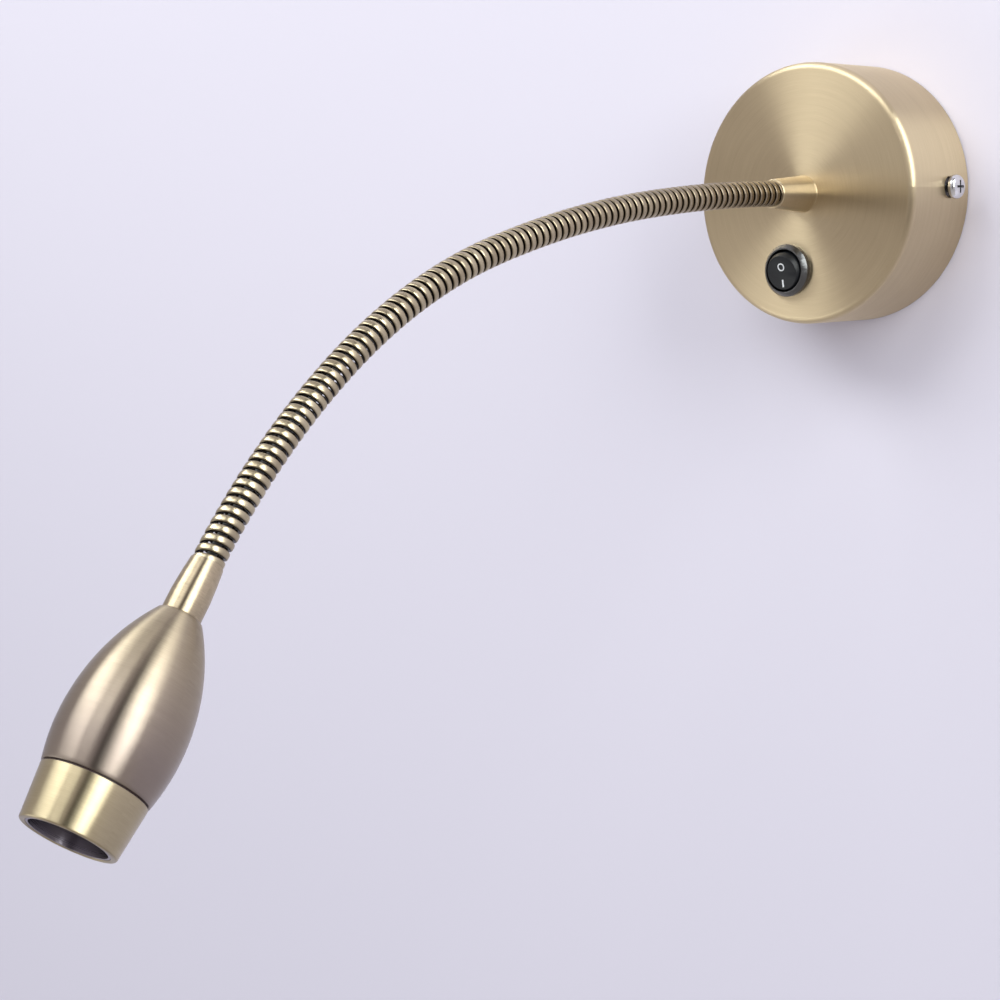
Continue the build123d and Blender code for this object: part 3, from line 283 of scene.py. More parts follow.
def hose_brass(settings):
    """Wound brass strip, with painted shade where it dips into the groove and painted shade in a bronze tone
    near the cup.
    """
    finish = Finish("hose_brass", Metallic=1.0)
    crest = finish.add("ShaderNodeAttribute", attribute_name="crest").outputs["Fac"]
    lay = finish.add("ShaderNodeAttribute", attribute_name="lay").outputs["Vector"]
    length, across, _ = finish.split(lay)
    lines = finish.noise(finish.join(finish.calc("MULTIPLY", length, 60.0),
                                     finish.calc("MULTIPLY", across, 9000.0), 0.0), 1.0, 3.0, 0.6)
    cloud = finish.noise(finish.object_place(), 95.0, 3.0, 0.55)
    # Painted shade: the strip's flanks and the groove go nearly black, and only its crest keeps the brass.
    clear_of_groove_shade = finish.spread(crest, 0.68, 0.96, 0.0, 1.0)
    brass = finish.blend(finish.spread(cloud, 0.35, 0.65, 0.0, 1.0), (*settings.band_shade, 1.0),
                         (*settings.band_colour, 1.0))
    # Painted shade: the strip darkens to a bronze tone near the cup, standing in for the shade there.
    out = finish.split(finish.object_place())[1]
    bronze_toned = finish.spread(out, -0.25, -0.06, 0.0, 0.65)
    brass = finish.blend(bronze_toned, brass, (*settings.near_cup_shade_colour, 1.0))
    colour = finish.blend(clear_of_groove_shade, (*settings.groove_shade_colour, 1.0), brass)
    tone = finish.calc("ADD", finish.calc("MULTIPLY", lines, 0.5), finish.calc("MULTIPLY", cloud, 0.5))
    rough = finish.spread(tone, 0.3, 0.7, settings.band_roughness + 0.06, settings.band_roughness - 0.06)
    return finish.set(Base_Color=colour, Roughness=rough, Normal=finish.relief(lines, 0.000015, 0.4))


def groove_wire(settings):
    """The wire that lies in the hose's groove, painted dark as the groove's shade."""
    finish = Finish("groove_wire", Metallic=1.0)
    crest = finish.add("ShaderNodeAttribute", attribute_name="crest").outputs["Fac"]
    cloud = finish.noise(finish.object_place(), 160.0, 3.0, 0.6)
    # Painted shade: the groove wire is dark all over, a little lighter on its crest.
    colour = finish.blend(finish.calc("MULTIPLY", crest, cloud), (*settings.groove_shade_colour, 1.0),
                          (*settings.groove_wire_shade_colour, 1.0))
    return finish.set(Base_Color=colour, Roughness=finish.spread(cloud, 0.3, 0.7, 0.52, 0.34))


def metal(name, pale, deep, roughness, grain=220.0, stretch=(1.0, 1.0, 1.0), depth=0.00001):
    """Plain metal with cloudy tone, fine grain and slight wear."""
    finish = Finish(name, Metallic=1.0)
    place = finish.vector("MULTIPLY", finish.object_place(), stretch)
    fine = finish.noise(place, grain * 6, 4.0, 0.65)
    cloud = finish.noise(place, grain, 2.0, 0.5)
    colour = finish.blend(finish.spread(cloud, 0.35, 0.65, 0.0, 1.0), (*deep, 1.0), (*pale, 1.0))
    rough = finish.spread(fine, 0.3, 0.7, roughness - 0.05, roughness + 0.07)
    return finish.set(Base_Color=colour, Roughness=rough, Normal=finish.relief(fine, depth, 0.4))


def zinc_steel(name, deep=(0.42, 0.43, 0.45), pale=(0.62, 0.63, 0.64)):
    """Zinc-plated sheet with its soft spangle."""
    finish = Finish(name, Metallic=1.0)
    place = finish.object_place()
    cells = finish.add("ShaderNodeTexVoronoi", {"Vector": place, "Scale": 260.0}).outputs["Color"]
    tone = finish.split(cells)[0]
    colour = finish.blend(tone, (*deep, 1.0), (*pale, 1.0))
    fine = finish.noise(place, 900.0, 3.0, 0.6)
    return finish.set(Base_Color=colour, Roughness=finish.spread(tone, 0.0, 1.0, 0.38, 0.27),
                      Normal=finish.relief(fine, 0.00002, 0.3))


def moulded(name, colour, roughness, grain=1500.0, depth=0.00002, coat=0.0, ior=1.4):
    """Moulded plastic with a fine eroded grain and a little unevenness of tone."""
    finish = Finish(name, IOR=ior, Coat_Weight=coat, Coat_Roughness=0.24, Coat_IOR=ior)
    place = finish.object_place()
    fine = finish.noise(place, grain, 4.0, 0.7)
    cloud = finish.noise(place, 120.0, 2.0, 0.5)
    deep = tuple(channel * 0.82 for channel in colour)
    tone = finish.blend(finish.spread(cloud, 0.3, 0.7, 0.0, 1.0), (*deep, 1.0), (*colour, 1.0))
    rough = finish.spread(fine, 0.3, 0.7, roughness - 0.05, roughness + 0.05)
    return finish.set(Base_Color=tone, Roughness=rough, Normal=finish.relief(fine, depth, 0.5))


def circuit_board(name, colour, track):
    """Solder-resist over faint copper tracks."""
    finish = Finish(name, IOR=1.52, Coat_Weight=0.3, Coat_Roughness=0.15)
    place = finish.object_place()
    tracks = finish.add("ShaderNodeTexBrick", {"Vector": place, "Scale": 300.0, "Mortar Size": 0.03,
                                               "Color1": (0, 0, 0, 1), "Color2": (0.1, 0.1, 0.1, 1),
                                               "Mortar": (1, 1, 1, 1)})
    share = finish.split(tracks.outputs["Color"])[0]
    fine = finish.noise(place, 1100.0, 3.0, 0.6)
    tone = finish.blend(share, (*colour, 1.0), (*track, 1.0))
    return finish.set(Base_Color=tone, Roughness=finish.spread(fine, 0.3, 0.7, 0.36, 0.48),
                      Normal=finish.relief(share, 0.00003, 0.3))


def clear_optic(name):
    """Clear acrylic of the lens, with faint moulding waves."""
    finish = Finish(name, Roughness=0.03, IOR=1.49, Transmission_Weight=1.0)
    waves = finish.noise(finish.object_place(), 90.0, 2.0, 0.4)
    tint = finish.blend(waves, (0.97, 0.98, 0.99, 1.0), (1.0, 1.0, 1.0, 1.0))
    return finish.set(Base_Color=tint, Normal=finish.relief(waves, 0.00004, 0.2))


def tunnel_black():
    """Glossy dark sleeve with the faint rings of its turning."""
    finish = Finish("tunnel_black", Metallic=1.0, Anisotropic=0.5, Anisotropic_Rotation=0.25)
    finish.set(Tangent=finish.add("ShaderNodeTangent", direction_type="UV_MAP", uv_map="turned").outputs[0])
    uv = finish.add("ShaderNodeUVMap", uv_map="turned").outputs[0]
    u, v, _ = finish.split(uv)
    rings = finish.noise(finish.join(finish.calc("MULTIPLY", v, 4000.0), u, 0.0), 1.0, 3.0, 0.6)
    colour = finish.blend(rings, (0.27, 0.245, 0.28, 1.0), (0.36, 0.33, 0.37, 1.0))
    return finish.set(Base_Color=colour, Roughness=finish.spread(rings, 0.3, 0.7, 0.25, 0.33),
                      Normal=finish.relief(rings, 0.00002, 0.4))


# ---- mesh helpers -------------------------------------------------------------------------------
CORNER_STEPS = 5


def new_piece(name, mesh, material):
    """Puts a mesh in the scene as a piece at the origin, with one material."""
    piece = bpy.data.objects.new(name, mesh)
    bpy.context.scene.collection.objects.link(piece)
    if material is not None:
        mesh.materials.clear()
        mesh.materials.append(material)
    return piece


def smooth(mesh, angle=35.0):
    """Smooth shading with sharp edges over an angle in degrees."""
    mesh.shade_smooth()
    mesh.set_sharp_from_angle(angle=math.radians(angle))


def rounded(corners):
    """The outline through (x, r, corner radius) corners with each corner rounded off."""
    outline = []
    count = len(corners)
    for index, (x, r, radius) in enumerate(corners):
        here = Vector((x, r))
        if radius <= 0:
            outline.append(here)
            continue
        before = Vector(corners[index - 1][:2]) - here
        after = Vector(corners[(index + 1) % count][:2]) - here
        half = before.angle(after) / 2
        cut = min(radius / math.tan(half), before.length * 0.45, after.length * 0.45)
        radius = cut * math.tan(half)
        start = before.normalized()
        end = after.normalized()
        centre = here + (start + end).normalized() * (radius / math.sin(half))
        first = here + start * cut - centre
        last = here + end * cut - centre
        for step in range(CORNER_STEPS + 1):
            share = step / CORNER_STEPS
            arm = first * (1 - share) + last * share
            outline.append(centre + arm.normalized() * radius)
    return outline


def arc(centre_x, centre_r, radius, start_x, end_x, steps):
    """Points on an arc above its centre, from one station to another, both kept."""
    points = []
    for step in range(steps + 1):
        x = start_x + (end_x - start_x) * step / steps
        points.append((x, centre_r + math.sqrt(radius ** 2 - (x - centre_x) ** 2), 0.0))
    return points


def turned_mesh(name, outline, place, sides=144):
    """A closed outline of (x, r) millimetres turned round X, placed by place(x, y, z)."""
    mesh = bpy.data.meshes.new(name)
    form = bmesh.new()
    layer = form.loops.layers.uv.new("turned")
    count = len(outline)
    rings = []
    for side in range(sides):
        angle = 2 * math.pi * side / sides
        rings.append([form.verts.new(place(x, r * math.cos(angle), r * math.sin(angle)))
                      for x, r in outline])
    course = [0.0]
    for index in range(count):
        step = (Vector(outline[(index + 1) % count]) - Vector(outline[index])).length
        course.append(course[-1] + step * MM)
    for side in range(sides):
        here = rings[side]
        there = rings[(side + 1) % sides]
        for index in range(count):
            after = (index + 1) % count
            face = form.faces.new((here[index], here[after], there[after], there[index]))
            corners = ((side, index), (side, index + 1), (side + 1, index + 1), (side + 1, index))
            for loop, (turn, station) in zip(face.loops, corners):
                loop[layer].uv = (turn / sides, course[station])
    bmesh.ops.recalc_face_normals(form, faces=form.faces)
    form.to_mesh(mesh)
    form.free()
    smooth(mesh)
    return mesh


def face_place(x, y, z):
    """A point of the frame on the cup's face: x out of the face, y to the right, z up; in metres."""
    return Vector((y, -CUP_DEPTH - x, z)) * MM


def route_line(name, points, resolution=8):
    """The points of a smooth spline through a route, read from the curve itself."""
    curve = bpy.data.curves.new(name, "CURVE")
    curve.dimensions = "3D"
    spline = curve.splines.new("NURBS")
    spline.points.add(len(points) - 1)
    for knot, point in zip(spline.points, points):
        knot.co = (*point, 1.0)
    spline.order_u = 3
    spline.use_endpoint_u = True
    spline.resolution_u = resolution
    return curve


def line_points(curve):
    """The evaluated points of a curve with no bevel."""
    holder = bpy.data.objects.new(curve.name, curve)
    bpy.context.scene.collection.objects.link(holder)
    bpy.context.view_layer.update()
    line = bpy.data.meshes.new_from_object(holder)
    points = [vertex.co.copy() for vertex in line.vertices]
    bpy.data.objects.remove(holder)
    bpy.data.meshes.remove(line)
    return points


def tube_mesh(name, points, radius, sides=20):
    """A round tube along points, with closed ends and a UV map that runs along it."""
    mesh = bpy.data.meshes.new(name)
    form = bmesh.new()
    layer = form.loops.layers.uv.new("turned")
    rings = []
    course = [0.0]
    normal = None
    for index, point in enumerate(points):
        before = points[max(index - 1, 0)]
        after = points[min(index + 1, len(points) - 1)]
        along = (after - before).normalized()
        if normal is None:
            normal = along.orthogonal().normalized()
        normal = (normal - along * normal.dot(along)).normalized()
        side_way = along.cross(normal)
        rings.append([form.verts.new(point + normal * (radius * math.cos(2 * math.pi * side / sides))
                                     + side_way * (radius * math.sin(2 * math.pi * side / sides)))
                      for side in range(sides)])
        if index:
            course.append(course[-1] + (point - points[index - 1]).length)
    for index in range(len(rings) - 1):
        for side in range(sides):
            after = (side + 1) % sides
            face = form.faces.new((rings[index][side], rings[index][after],
                                   rings[index + 1][after], rings[index + 1][side]))
            corners = ((side, index), (side + 1, index), (side + 1, index + 1), (side, index + 1))
            for loop, (turn, station) in zip(face.loops, corners):
                loop[layer].uv = (turn / sides, course[station])
    form.faces.new(rings[0])
    form.faces.new(rings[-1])
    bmesh.ops.recalc_face_normals(form, faces=form.faces)
    form.to_mesh(mesh)
    form.free()
    smooth(mesh)
    return mesh


def softened(node, width, segments=3, angle=30.0):
    """A copy of a CAD node's mesh, merged and cleaned, with its sharp edges rounded."""
    source = bpy.data.objects[node]
    mesh = source.data.copy()
    mesh.name = node + "_soft"
    form = bmesh.new()
    form.from_mesh(mesh)
    bmesh.ops.remove_doubles(form, verts=form.verts, dist=0.000002)
    bmesh.ops.dissolve_limit(form, angle_limit=math.radians(1.0), verts=form.verts, edges=form.edges)
    bmesh.ops.recalc_face_normals(form, faces=form.faces)
    form.to_mesh(mesh)
    form.free()
    for name in [item.name for item in mesh.attributes if item.name.startswith("custom_normal")]:
        mesh.attributes.remove(mesh.attributes[name])
    holder = bpy.data.objects.new(mesh.name, mesh)
    bpy.context.scene.collection.objects.link(holder)
    edge = holder.modifiers.new("rounding", "BEVEL")
    edge.width = width * MM
    edge.segments = segments
    edge.limit_method = "ANGLE"
    edge.angle_limit = math.radians(angle)
    edge.harden_normals = True
    mesh.shade_smooth()
    bpy.context.view_layer.update()
    result = bpy.data.meshes.new_from_object(holder.evaluated_get(bpy.context.evaluated_depsgraph_get()))
    bpy.data.objects.remove(holder)
    smooth(result, 40.0)
    return result


def finish_node(node, material):
    """Gives a carried-over CAD node its material."""
    piece = bpy.data.objects[node]
    if not piece.material_slots:
        piece.data.materials.append(material)
    for socket in piece.material_slots:
        socket.material = material


# ---- geometry node trees ------------------------------------------------------------------------
def squared(net, value, flatness):
    """Pushes a coordinate of the unit circle outwards, so that the round section turns squarish."""
    size = net.calc("POWER", net.calc("ABSOLUTE", value), flatness)
    return net.calc("MULTIPLY", net.calc("SIGN", value), size)


def add_winding(net, line, pitch, first, turns, lead_in, wire, material, points, steps, flatness):
    """One wire of the hose: a rod of steps rings bent on to a helix round the centreline."""
    width, height, radius, offset = wire
    rod = net.add("GeometryNodeMeshCylinder", {"Vertices": points, "Side Segments": steps,
                                               "Radius": 1.0, "Depth": 1.0}, fill_type="NGON")
    x, y, z = net.split(net.add("GeometryNodeInputPosition").outputs[0])
    x = squared(net, x, flatness)
    y = squared(net, y, flatness)
    share = net.calc("ADD", z, 0.5)
    turn = net.calc("ADD", net.calc("ADD", net.calc("MULTIPLY", share, turns), first), offset)
    angle = net.calc("MULTIPLY", turn, 2 * math.pi)
    across = net.calc("MULTIPLY", net.calc("MULTIPLY", x, 0.5), width)
    lift = net.calc("MULTIPLY", net.calc("MULTIPLY", y, 0.5), height)
    station = net.calc("ADD", net.calc("ADD", net.calc("MULTIPLY", turn, pitch), across), lead_in)
    sample = net.add("GeometryNodeSampleCurve", {"Curves": line, "Length": station},
                     mode="LENGTH", use_all_curves=True)
    along = sample.outputs["Tangent"]
    up = net.vector("NORMALIZE", net.vector("CROSS_PRODUCT", along, (1.0, 0.0, 0.0)))
    side = net.vector("CROSS_PRODUCT", along, up)
    out = net.vector("ADD", net.vector("SCALE", up, scale=net.calc("COSINE", angle)),
                     net.vector("SCALE", side, scale=net.calc("SINE", angle)))
    reach = net.calc("ADD", radius, lift)
    place = net.vector("ADD", sample.outputs["Position"], net.vector("SCALE", out, scale=reach))
    height_share = net.calc("ADD", net.calc("MULTIPLY", y, 0.5), 0.5)
    crest = net.add("GeometryNodeStoreNamedAttribute", {"Geometry": rod.outputs["Mesh"], "Name": "crest",
                                                        "Value": height_share},
                    data_type="FLOAT", domain="POINT")
    run = net.calc("MULTIPLY", angle, radius)
    lay = net.add("GeometryNodeStoreNamedAttribute", {"Geometry": crest.outputs[0], "Name": "lay",
                                                      "Value": net.join(run, across, lift)},
                  data_type="FLOAT_VECTOR", domain="POINT")
    moved = net.add("GeometryNodeSetPosition", {"Geometry": lay.outputs[0], "Position": place})
    return net.add("GeometryNodeSetMaterial", {"Geometry": moved.outputs[0], "Material": material}).outputs[0]


def hose_tree(band_material, wire_material):
    """The wound hose: a wide strip and the narrow wire in its groove, on a helix along a curve."""
    tree = bpy.data.node_groups.new("wound_hose", "GeometryNodeTree")
    face = tree.interface
    face.new_socket("Centreline", in_out="INPUT", socket_type="NodeSocketGeometry")
    for name in ("Pitch", "First turn", "Turns", "Lead in", "Band width", "Band height", "Band radius",
                 "Wire width", "Wire height", "Wire radius", "Flatness"):
        face.new_socket(name, in_out="INPUT", socket_type="NodeSocketFloat")
    face.new_socket("Hose", in_out="OUTPUT", socket_type="NodeSocketGeometry")
    net = Nodes(tree)
    given = net.add("NodeGroupInput").outputs
    line = given["Centreline"]
    shared = (line, given["Pitch"], given["First turn"], given["Turns"], given["Lead in"])
    band = add_winding(net, *shared, (given["Band width"], given["Band height"], given["Band radius"], 0.5),
                       band_material, 24, LINK_RIBS * 56, given["Flatness"])
    wire = add_winding(net, *shared, (given["Wire width"], given["Wire height"], given["Wire radius"], 0.0),
                       wire_material, 12, LINK_RIBS * 48, 1.0)
    both = net.add("GeometryNodeJoinGeometry")
    tree.links.new(band, both.inputs[0])
    tree.links.new(wire, both.inputs[0])
    real = net.add("GeometryNodeRealizeInstances", {0: both.outputs[0]})
    net.add("NodeGroupOutput", {0: real.outputs[0]})
    return tree


def run_tree(holder, tree, values):
    """The plain mesh that a tree makes on an object, with its named inputs set."""
    step = holder.modifiers.new("form", "NODES")
    names = {item.name: item.identifier for item in tree.interface.items_tree if item.item_type == "SOCKET"}
    step.node_group = tree
    for name, value in values.items():
        step[names[name]] = value
    bpy.context.view_layer.update()
    mesh = bpy.data.meshes.new_from_object(holder.evaluated_get(bpy.context.evaluated_depsgraph_get()))
    holder.modifiers.remove(step)
    return mesh


# ---- settings -----------------------------------------------------------------------------------
def colour_of(name, description, value):
    return bpy.props.FloatVectorProperty(name=name, description=description, default=value, size=3,
                                         min=0.0, max=1.0, subtype="COLOR")


def length_of(name, description, value):
    return bpy.props.FloatProperty(name=name, description=description, default=value, min=0.0, max=1.0,
                                   subtype="DISTANCE", unit="LENGTH", precision=5)


class BrassSettings(bpy.types.PropertyGroup):
    """Finish of the turned and brushed brass."""
    cup_colour: colour_of("Cup", "Pale tone of the brushed cup", (0.64, 0.53, 0.35))
    cup_shade: colour_of("Cup shade", "Deep tone of the brushed cup", (0.50, 0.40, 0.26))
    shell_colour: colour_of("Shell", "Pale tone of the bronzed shell", (0.47, 0.395, 0.275))
    shell_shade: colour_of("Shell shade", "Deep tone of the bronzed shell", (0.31, 0.255, 0.18))
    # Painted reflection: greyer towards the front ring, standing in for the grey room that the shell
    # reflects.
    shell_painted_reflection: colour_of("Shell, aged", "Greyer tone towards the front ring", (0.285, 0.235, 0.205))
    ring_colour: colour_of("Front ring", "Pale tone of the front ring", (0.50, 0.425, 0.275))
    ring_shade: colour_of("Front ring shade", "Deep tone of the front ring", (0.38, 0.315, 0.20))
    roughness: bpy.props.FloatProperty(name="Roughness", description="Mean roughness of the satin brass",
                                       default=0.34, min=0.05, max=0.9, subtype="FACTOR")
    anisotropy: bpy.props.FloatProperty(name="Anisotropy", description="Stretch of the brushed highlights",
                                        default=0.92, min=0.0, max=1.0, subtype="FACTOR")
    fine_lines: bpy.props.FloatProperty(name="Fine lines", description="Fine brushed lines per metre",
                                        default=5200.0, min=100.0, max=20000.0)
    coarse_lines: bpy.props.FloatProperty(name="Coarse lines", description="Broad brushed bands per metre",
                                          default=520.0, min=10.0, max=5000.0)
    line_depth: length_of("Line depth", "Relief of the brushed lines", 0.00002)


class HoseSettings(bpy.types.PropertyGroup):
    """Sizes and colours of the wound hose."""
    pitch: length_of("Pitch", "From one turn to the next", RIB_PITCH * MM)
    band_width: length_of("Band width", "Width of the wound strip", 0.0024)
    band_height: length_of("Band height", "Height of the wound strip", 0.0014)
    band_radius: length_of("Band radius", "Middle of the strip from the hose's axis", 0.0042)
    flatness: bpy.props.FloatProperty(name="Flatness", description="1 is an oval strip, 0.3 nearly square",
                                      default=0.6, min=0.2, max=1.0)
    wire_width: length_of("Groove wire width", "Width of the wire in the groove", 0.0012)
    wire_height: length_of("Groove wire height", "Height of the wire in the groove", 0.0012)
    wire_radius: length_of("Groove wire radius", "Middle of that wire from the hose's axis", 0.0031)
    band_colour: colour_of("Band", "Pale tone of the strip", (0.50, 0.43, 0.29))
    band_shade: colour_of("Band shade", "Deep tone of the strip", (0.36, 0.30, 0.20))
    # Painted shade: the strip's darker bronze tone near the cup.
    near_cup_shade_colour: colour_of("Bronzed", "Tone of the strip near the cup", (0.23, 0.175, 0.125))
    # Painted shade: the nearly black groove and the dark wire in it.
    groove_shade_colour: colour_of("Groove", "Bronzed tone in the groove", (0.022, 0.013, 0.010))
    groove_wire_shade_colour: colour_of("Groove wire", "Tone on the groove wire's crest", (0.08, 0.055, 0.045))
    band_roughness: bpy.props.FloatProperty(name="Roughness", description="Mean roughness of the strip",
                                            default=0.28, min=0.05, max=0.9, subtype="FACTOR")


class SwitchSettings(bpy.types.PropertyGroup):
    """Colours and edges of the rocker switch."""
    bezel_colour: colour_of("Bezel", "Glossy black of the bezel", (0.004, 0.004, 0.005))
    rocker_colour: colour_of("Rocker", "Satin black of the rocker", (0.006, 0.007, 0.009))
    mark_colour: colour_of("Marks", "White of the two marks", (0.85, 0.86, 0.86))
    edge: length_of("Edge", "Rounding of the switch's edges", 0.00022)


class StageSettings(bpy.types.PropertyGroup):
    """Camera, wall and lights."""
    camera_place: bpy.props.FloatVectorProperty(name="Camera", description="Place of the camera",
                                                default=(0.471240, -0.690491, -0.026998),
                                                subtype="TRANSLATION", unit="LENGTH")
    camera_turn: bpy.props.FloatVectorProperty(name="Camera turn", description="Yaw, pitch and roll",
                                               default=tuple(map(math.radians, (44.468, -6.264, -2.121))),
                                               subtype="EULER", unit="ROTATION")
    camera_lens: bpy.props.FloatProperty(name="Lens", description="Focal length on a 36 mm wide sensor",
                                         default=73.53, min=10.0, max=300.0, unit="CAMERA")
    # Painted light and shade: the wall's gradient stands in for how the light falls on it.
    wall_painted_light: colour_of("Wall, pale", "Wall colour where it is palest", (0.745, 0.705, 0.785))
    wall_painted_shade: colour_of("Wall, deep", "Wall colour low on the left", (0.705, 0.67, 0.755))
    light: bpy.props.FloatProperty(name="Light", description="Strength of all lamps", default=1.0,
                                   min=0.0, max=10.0)


SETTINGS = {"brass": BrassSettings, "hose": HoseSettings, "switch": SwitchSettings, "stage": StageSettings}


def settings(name):
    return getattr(bpy.context.scene, "reading_lamp_" + name)


# ---- stage --------------------------------------------------------------------------------------
LAMP_COLOUR = (0.955, 1.0, 0.99)
LAMP_TARGET = (0.0, -0.2, -0.05)
# name, azimuth and elevation in degrees, distance, width and height in metres, power in watts
SOFTBOXES = (("softbox_above", -38.0, 46.0, 1.7, 1.5, 0.7, 19.5),
             ("softbox_middle", 12.0, 48.0, 1.7, 0.55, 0.7, 4.5),
             ("softbox_right", 76.0, 28.0, 1.7, 0.8, 1.5, 28.0),
             ("softbox_low", -45.0, -24.0, 1.8, 0.9, 0.6, 3.0))
WALL_REACH = 3.0
WALL_BEHIND = 0.0006
ROOM_LOW = (0.53, 0.50, 0.49, 1.0)
ROOM_MIDDLE = (0.57, 0.54, 0.545, 1.0)
ROOM_HIGH = (0.64, 0.61, 0.66, 1.0)
ROOM_FILL = (0.42, 0.42, 0.46, 1.0)
BACKDROP = (0.78, 0.77, 0.86, 1.0)
DARK_GAP = (0.02, 0.017, 0.018, 1.0)
GAP_NORMAL = (-0.762, -0.527, 0.377)
GAP_MIDDLE = (0.613, -0.398, 0.682)


def add_softbox(name, place, target, width, height, power):
    """A soft rectangular lamp that faces a point."""
    data = bpy.data.lights.new(name, "AREA")
    data.shape = "RECTANGLE"
    data.size = width
    data.size_y = height
    data.energy = power * settings("stage").light
    data.color = LAMP_COLOUR
    lamp = bpy.data.objects.new(name, data)
    bpy.context.scene.collection.objects.link(lamp)
    lamp.location = place
    lamp.visible_camera = False
    lamp.rotation_mode = "QUATERNION"
    lamp.rotation_quaternion = (Vector(place) - Vector(target)).to_track_quat("Z", "Y")
    return lamp


def wall_finish(given):
    """Matt wall that can be seen through from behind, with painted light: paler up and to the right, deeper
    low on the left.
    """
    finish = Finish("wall_paint", Roughness=0.9, IOR=1.3)
    place = finish.object_place()
    x, _, z = finish.split(place)
    # Painted light: the colour rises up and to the right, following how the light falls on the wall.
    rise = finish.calc("ADD", finish.calc("MULTIPLY", x, 0.35), finish.calc("MULTIPLY", z, 1.0))
    cloud = finish.noise(place, 2.2, 2.0, 0.5)
    rise = finish.calc("ADD", rise, finish.calc("MULTIPLY", cloud, 0.08))
    colour = finish.blend(finish.spread(rise, -0.45, 0.25, 0.0, 1.0), (*given.wall_painted_shade, 1.0),
                          (*given.wall_painted_light, 1.0))
    finish.set(Base_Color=colour, Normal=finish.relief(finish.noise(place, 700.0, 3.0, 0.6), 0.00004, 0.3))
    back = finish.add("ShaderNodeNewGeometry").outputs["Backfacing"]
    clear = finish.add("ShaderNodeBsdfTransparent")
    both = finish.add("ShaderNodeMixShader", {0: back, 1: finish.shader.outputs[0], 2: clear.outputs[0]})
    finish.tree.links.new(both.outputs[0], finish.tree.nodes["Material Output"].inputs["Surface"])
    return finish.material


def build_world():
    """Pale lavender where the camera sees it; a softer room for light and reflections."""
    world = bpy.data.worlds.new("room")
    world.use_nodes = True
    net = Nodes(world.node_tree)
    shown = world.node_tree.nodes["Background"]
    shown.inputs["Color"].default_value = BACKDROP
    shown.inputs["Strength"].default_value = 1.0
    way = net.add("ShaderNodeTexCoord").outputs["Generated"]
    height = net.split(way)[2]
    ramp = net.add("ShaderNodeValToRGB", {0: net.calc("ADD", net.calc("MULTIPLY", height, 0.5), 0.5)})
    ramp.color_ramp.elements[0].color = ROOM_LOW
    ramp.color_ramp.elements[1].color = ROOM_HIGH
    middle = ramp.color_ramp.elements.new(0.5)
    middle.color = ROOM_MIDDLE
    off = net.calc("ABSOLUTE", net.vector("DOT_PRODUCT", way, GAP_NORMAL))
    gap = net.add("ShaderNodeMapRange", {"Value": off, "From Min": 0.14, "From Max": 0.22, "To Min": 0.0,
                                         "To Max": 1.0}, interpolation_type="SMOOTHSTEP").outputs[0]
    front = net.add("ShaderNodeMapRange", {"Value": net.vector("DOT_PRODUCT", way, GAP_MIDDLE),
                                           "From Min": 0.25, "From Max": 0.5, "To Min": 1.0,
                                           "To Max": 0.0}, interpolation_type="SMOOTHSTEP").outputs[0]
    light = net.calc("MAXIMUM", gap, front)
    shade = net.add("ShaderNodeMix", data_type="RGBA")
    for socket, value in ((0, light), (6, DARK_GAP), (7, ramp.outputs[0])):
        net.put(shade.inputs[socket], value)
    room = net.add("ShaderNodeBackground", {"Color": shade.outputs[2], "Strength": 1.0})
    fill = net.add("ShaderNodeBackground", {"Color": ROOM_FILL, "Strength": 1.0})
    rays = net.add("ShaderNodeLightPath").outputs
    lit = net.add("ShaderNodeMixShader", {0: rays["Is Diffuse Ray"], 1: room.outputs[0], 2: fill.outputs[0]})
    both = net.add("ShaderNodeMixShader", {0: rays["Is Camera Ray"], 1: lit.outputs[0], 2: shown.outputs[0]})
    world.node_tree.links.new(both.outputs[0], world.node_tree.nodes["World Output"].inputs["Surface"])
    return world


class LAMP_OT_stage(bpy.types.Operator):
    """Makes the camera, the wall and the soft studio lights"""
    bl_idname = "reading_lamp.stage"
    bl_label = "Set the stage"

    def execute(self, context):
        given = settings("stage")
        scene = context.scene
        scene.view_settings.view_transform = "Standard"
        scene.world = build_world()
        data = bpy.data.cameras.new("camera")
        data.lens = given.camera_lens
        data.sensor_width = 36.0
        data.clip_start = 0.01
        data.clip_end = 50.0
        camera = bpy.data.objects.new("camera", data)
        scene.collection.objects.link(camera)
        yaw, pitch, roll = given.camera_turn
        turn = (Matrix.Rotation(yaw, 4, "Z") @ Matrix.Rotation(math.pi / 2 + pitch, 4, "X")
                @ Matrix.Rotation(roll, 4, "Z"))
        camera.matrix_world = Matrix.Translation(given.camera_place) @ turn
        scene.camera = camera
        mesh = bpy.data.meshes.new("wall")
        quarters = ((-1, -1), (1, -1), (1, 1), (-1, 1))
        corners = [(x * WALL_REACH, WALL_BEHIND, z * WALL_REACH) for x, z in quarters]
        mesh.from_pydata(corners, [], [(0, 1, 2, 3)])
        wall = new_piece("wall", mesh, wall_finish(given))
        wall.visible_shadow = False
        middle = Vector(LAMP_TARGET)
        for name, azimuth, elevation, distance, width, height, power in SOFTBOXES:
            turn = math.radians(azimuth)
            rise = math.radians(elevation)
            way = Vector((math.sin(turn) * math.cos(rise), -math.cos(turn) * math.cos(rise), math.sin(rise)))
            add_softbox(name, middle + way * distance, middle, width, height, power)
        return {"FINISHED"}


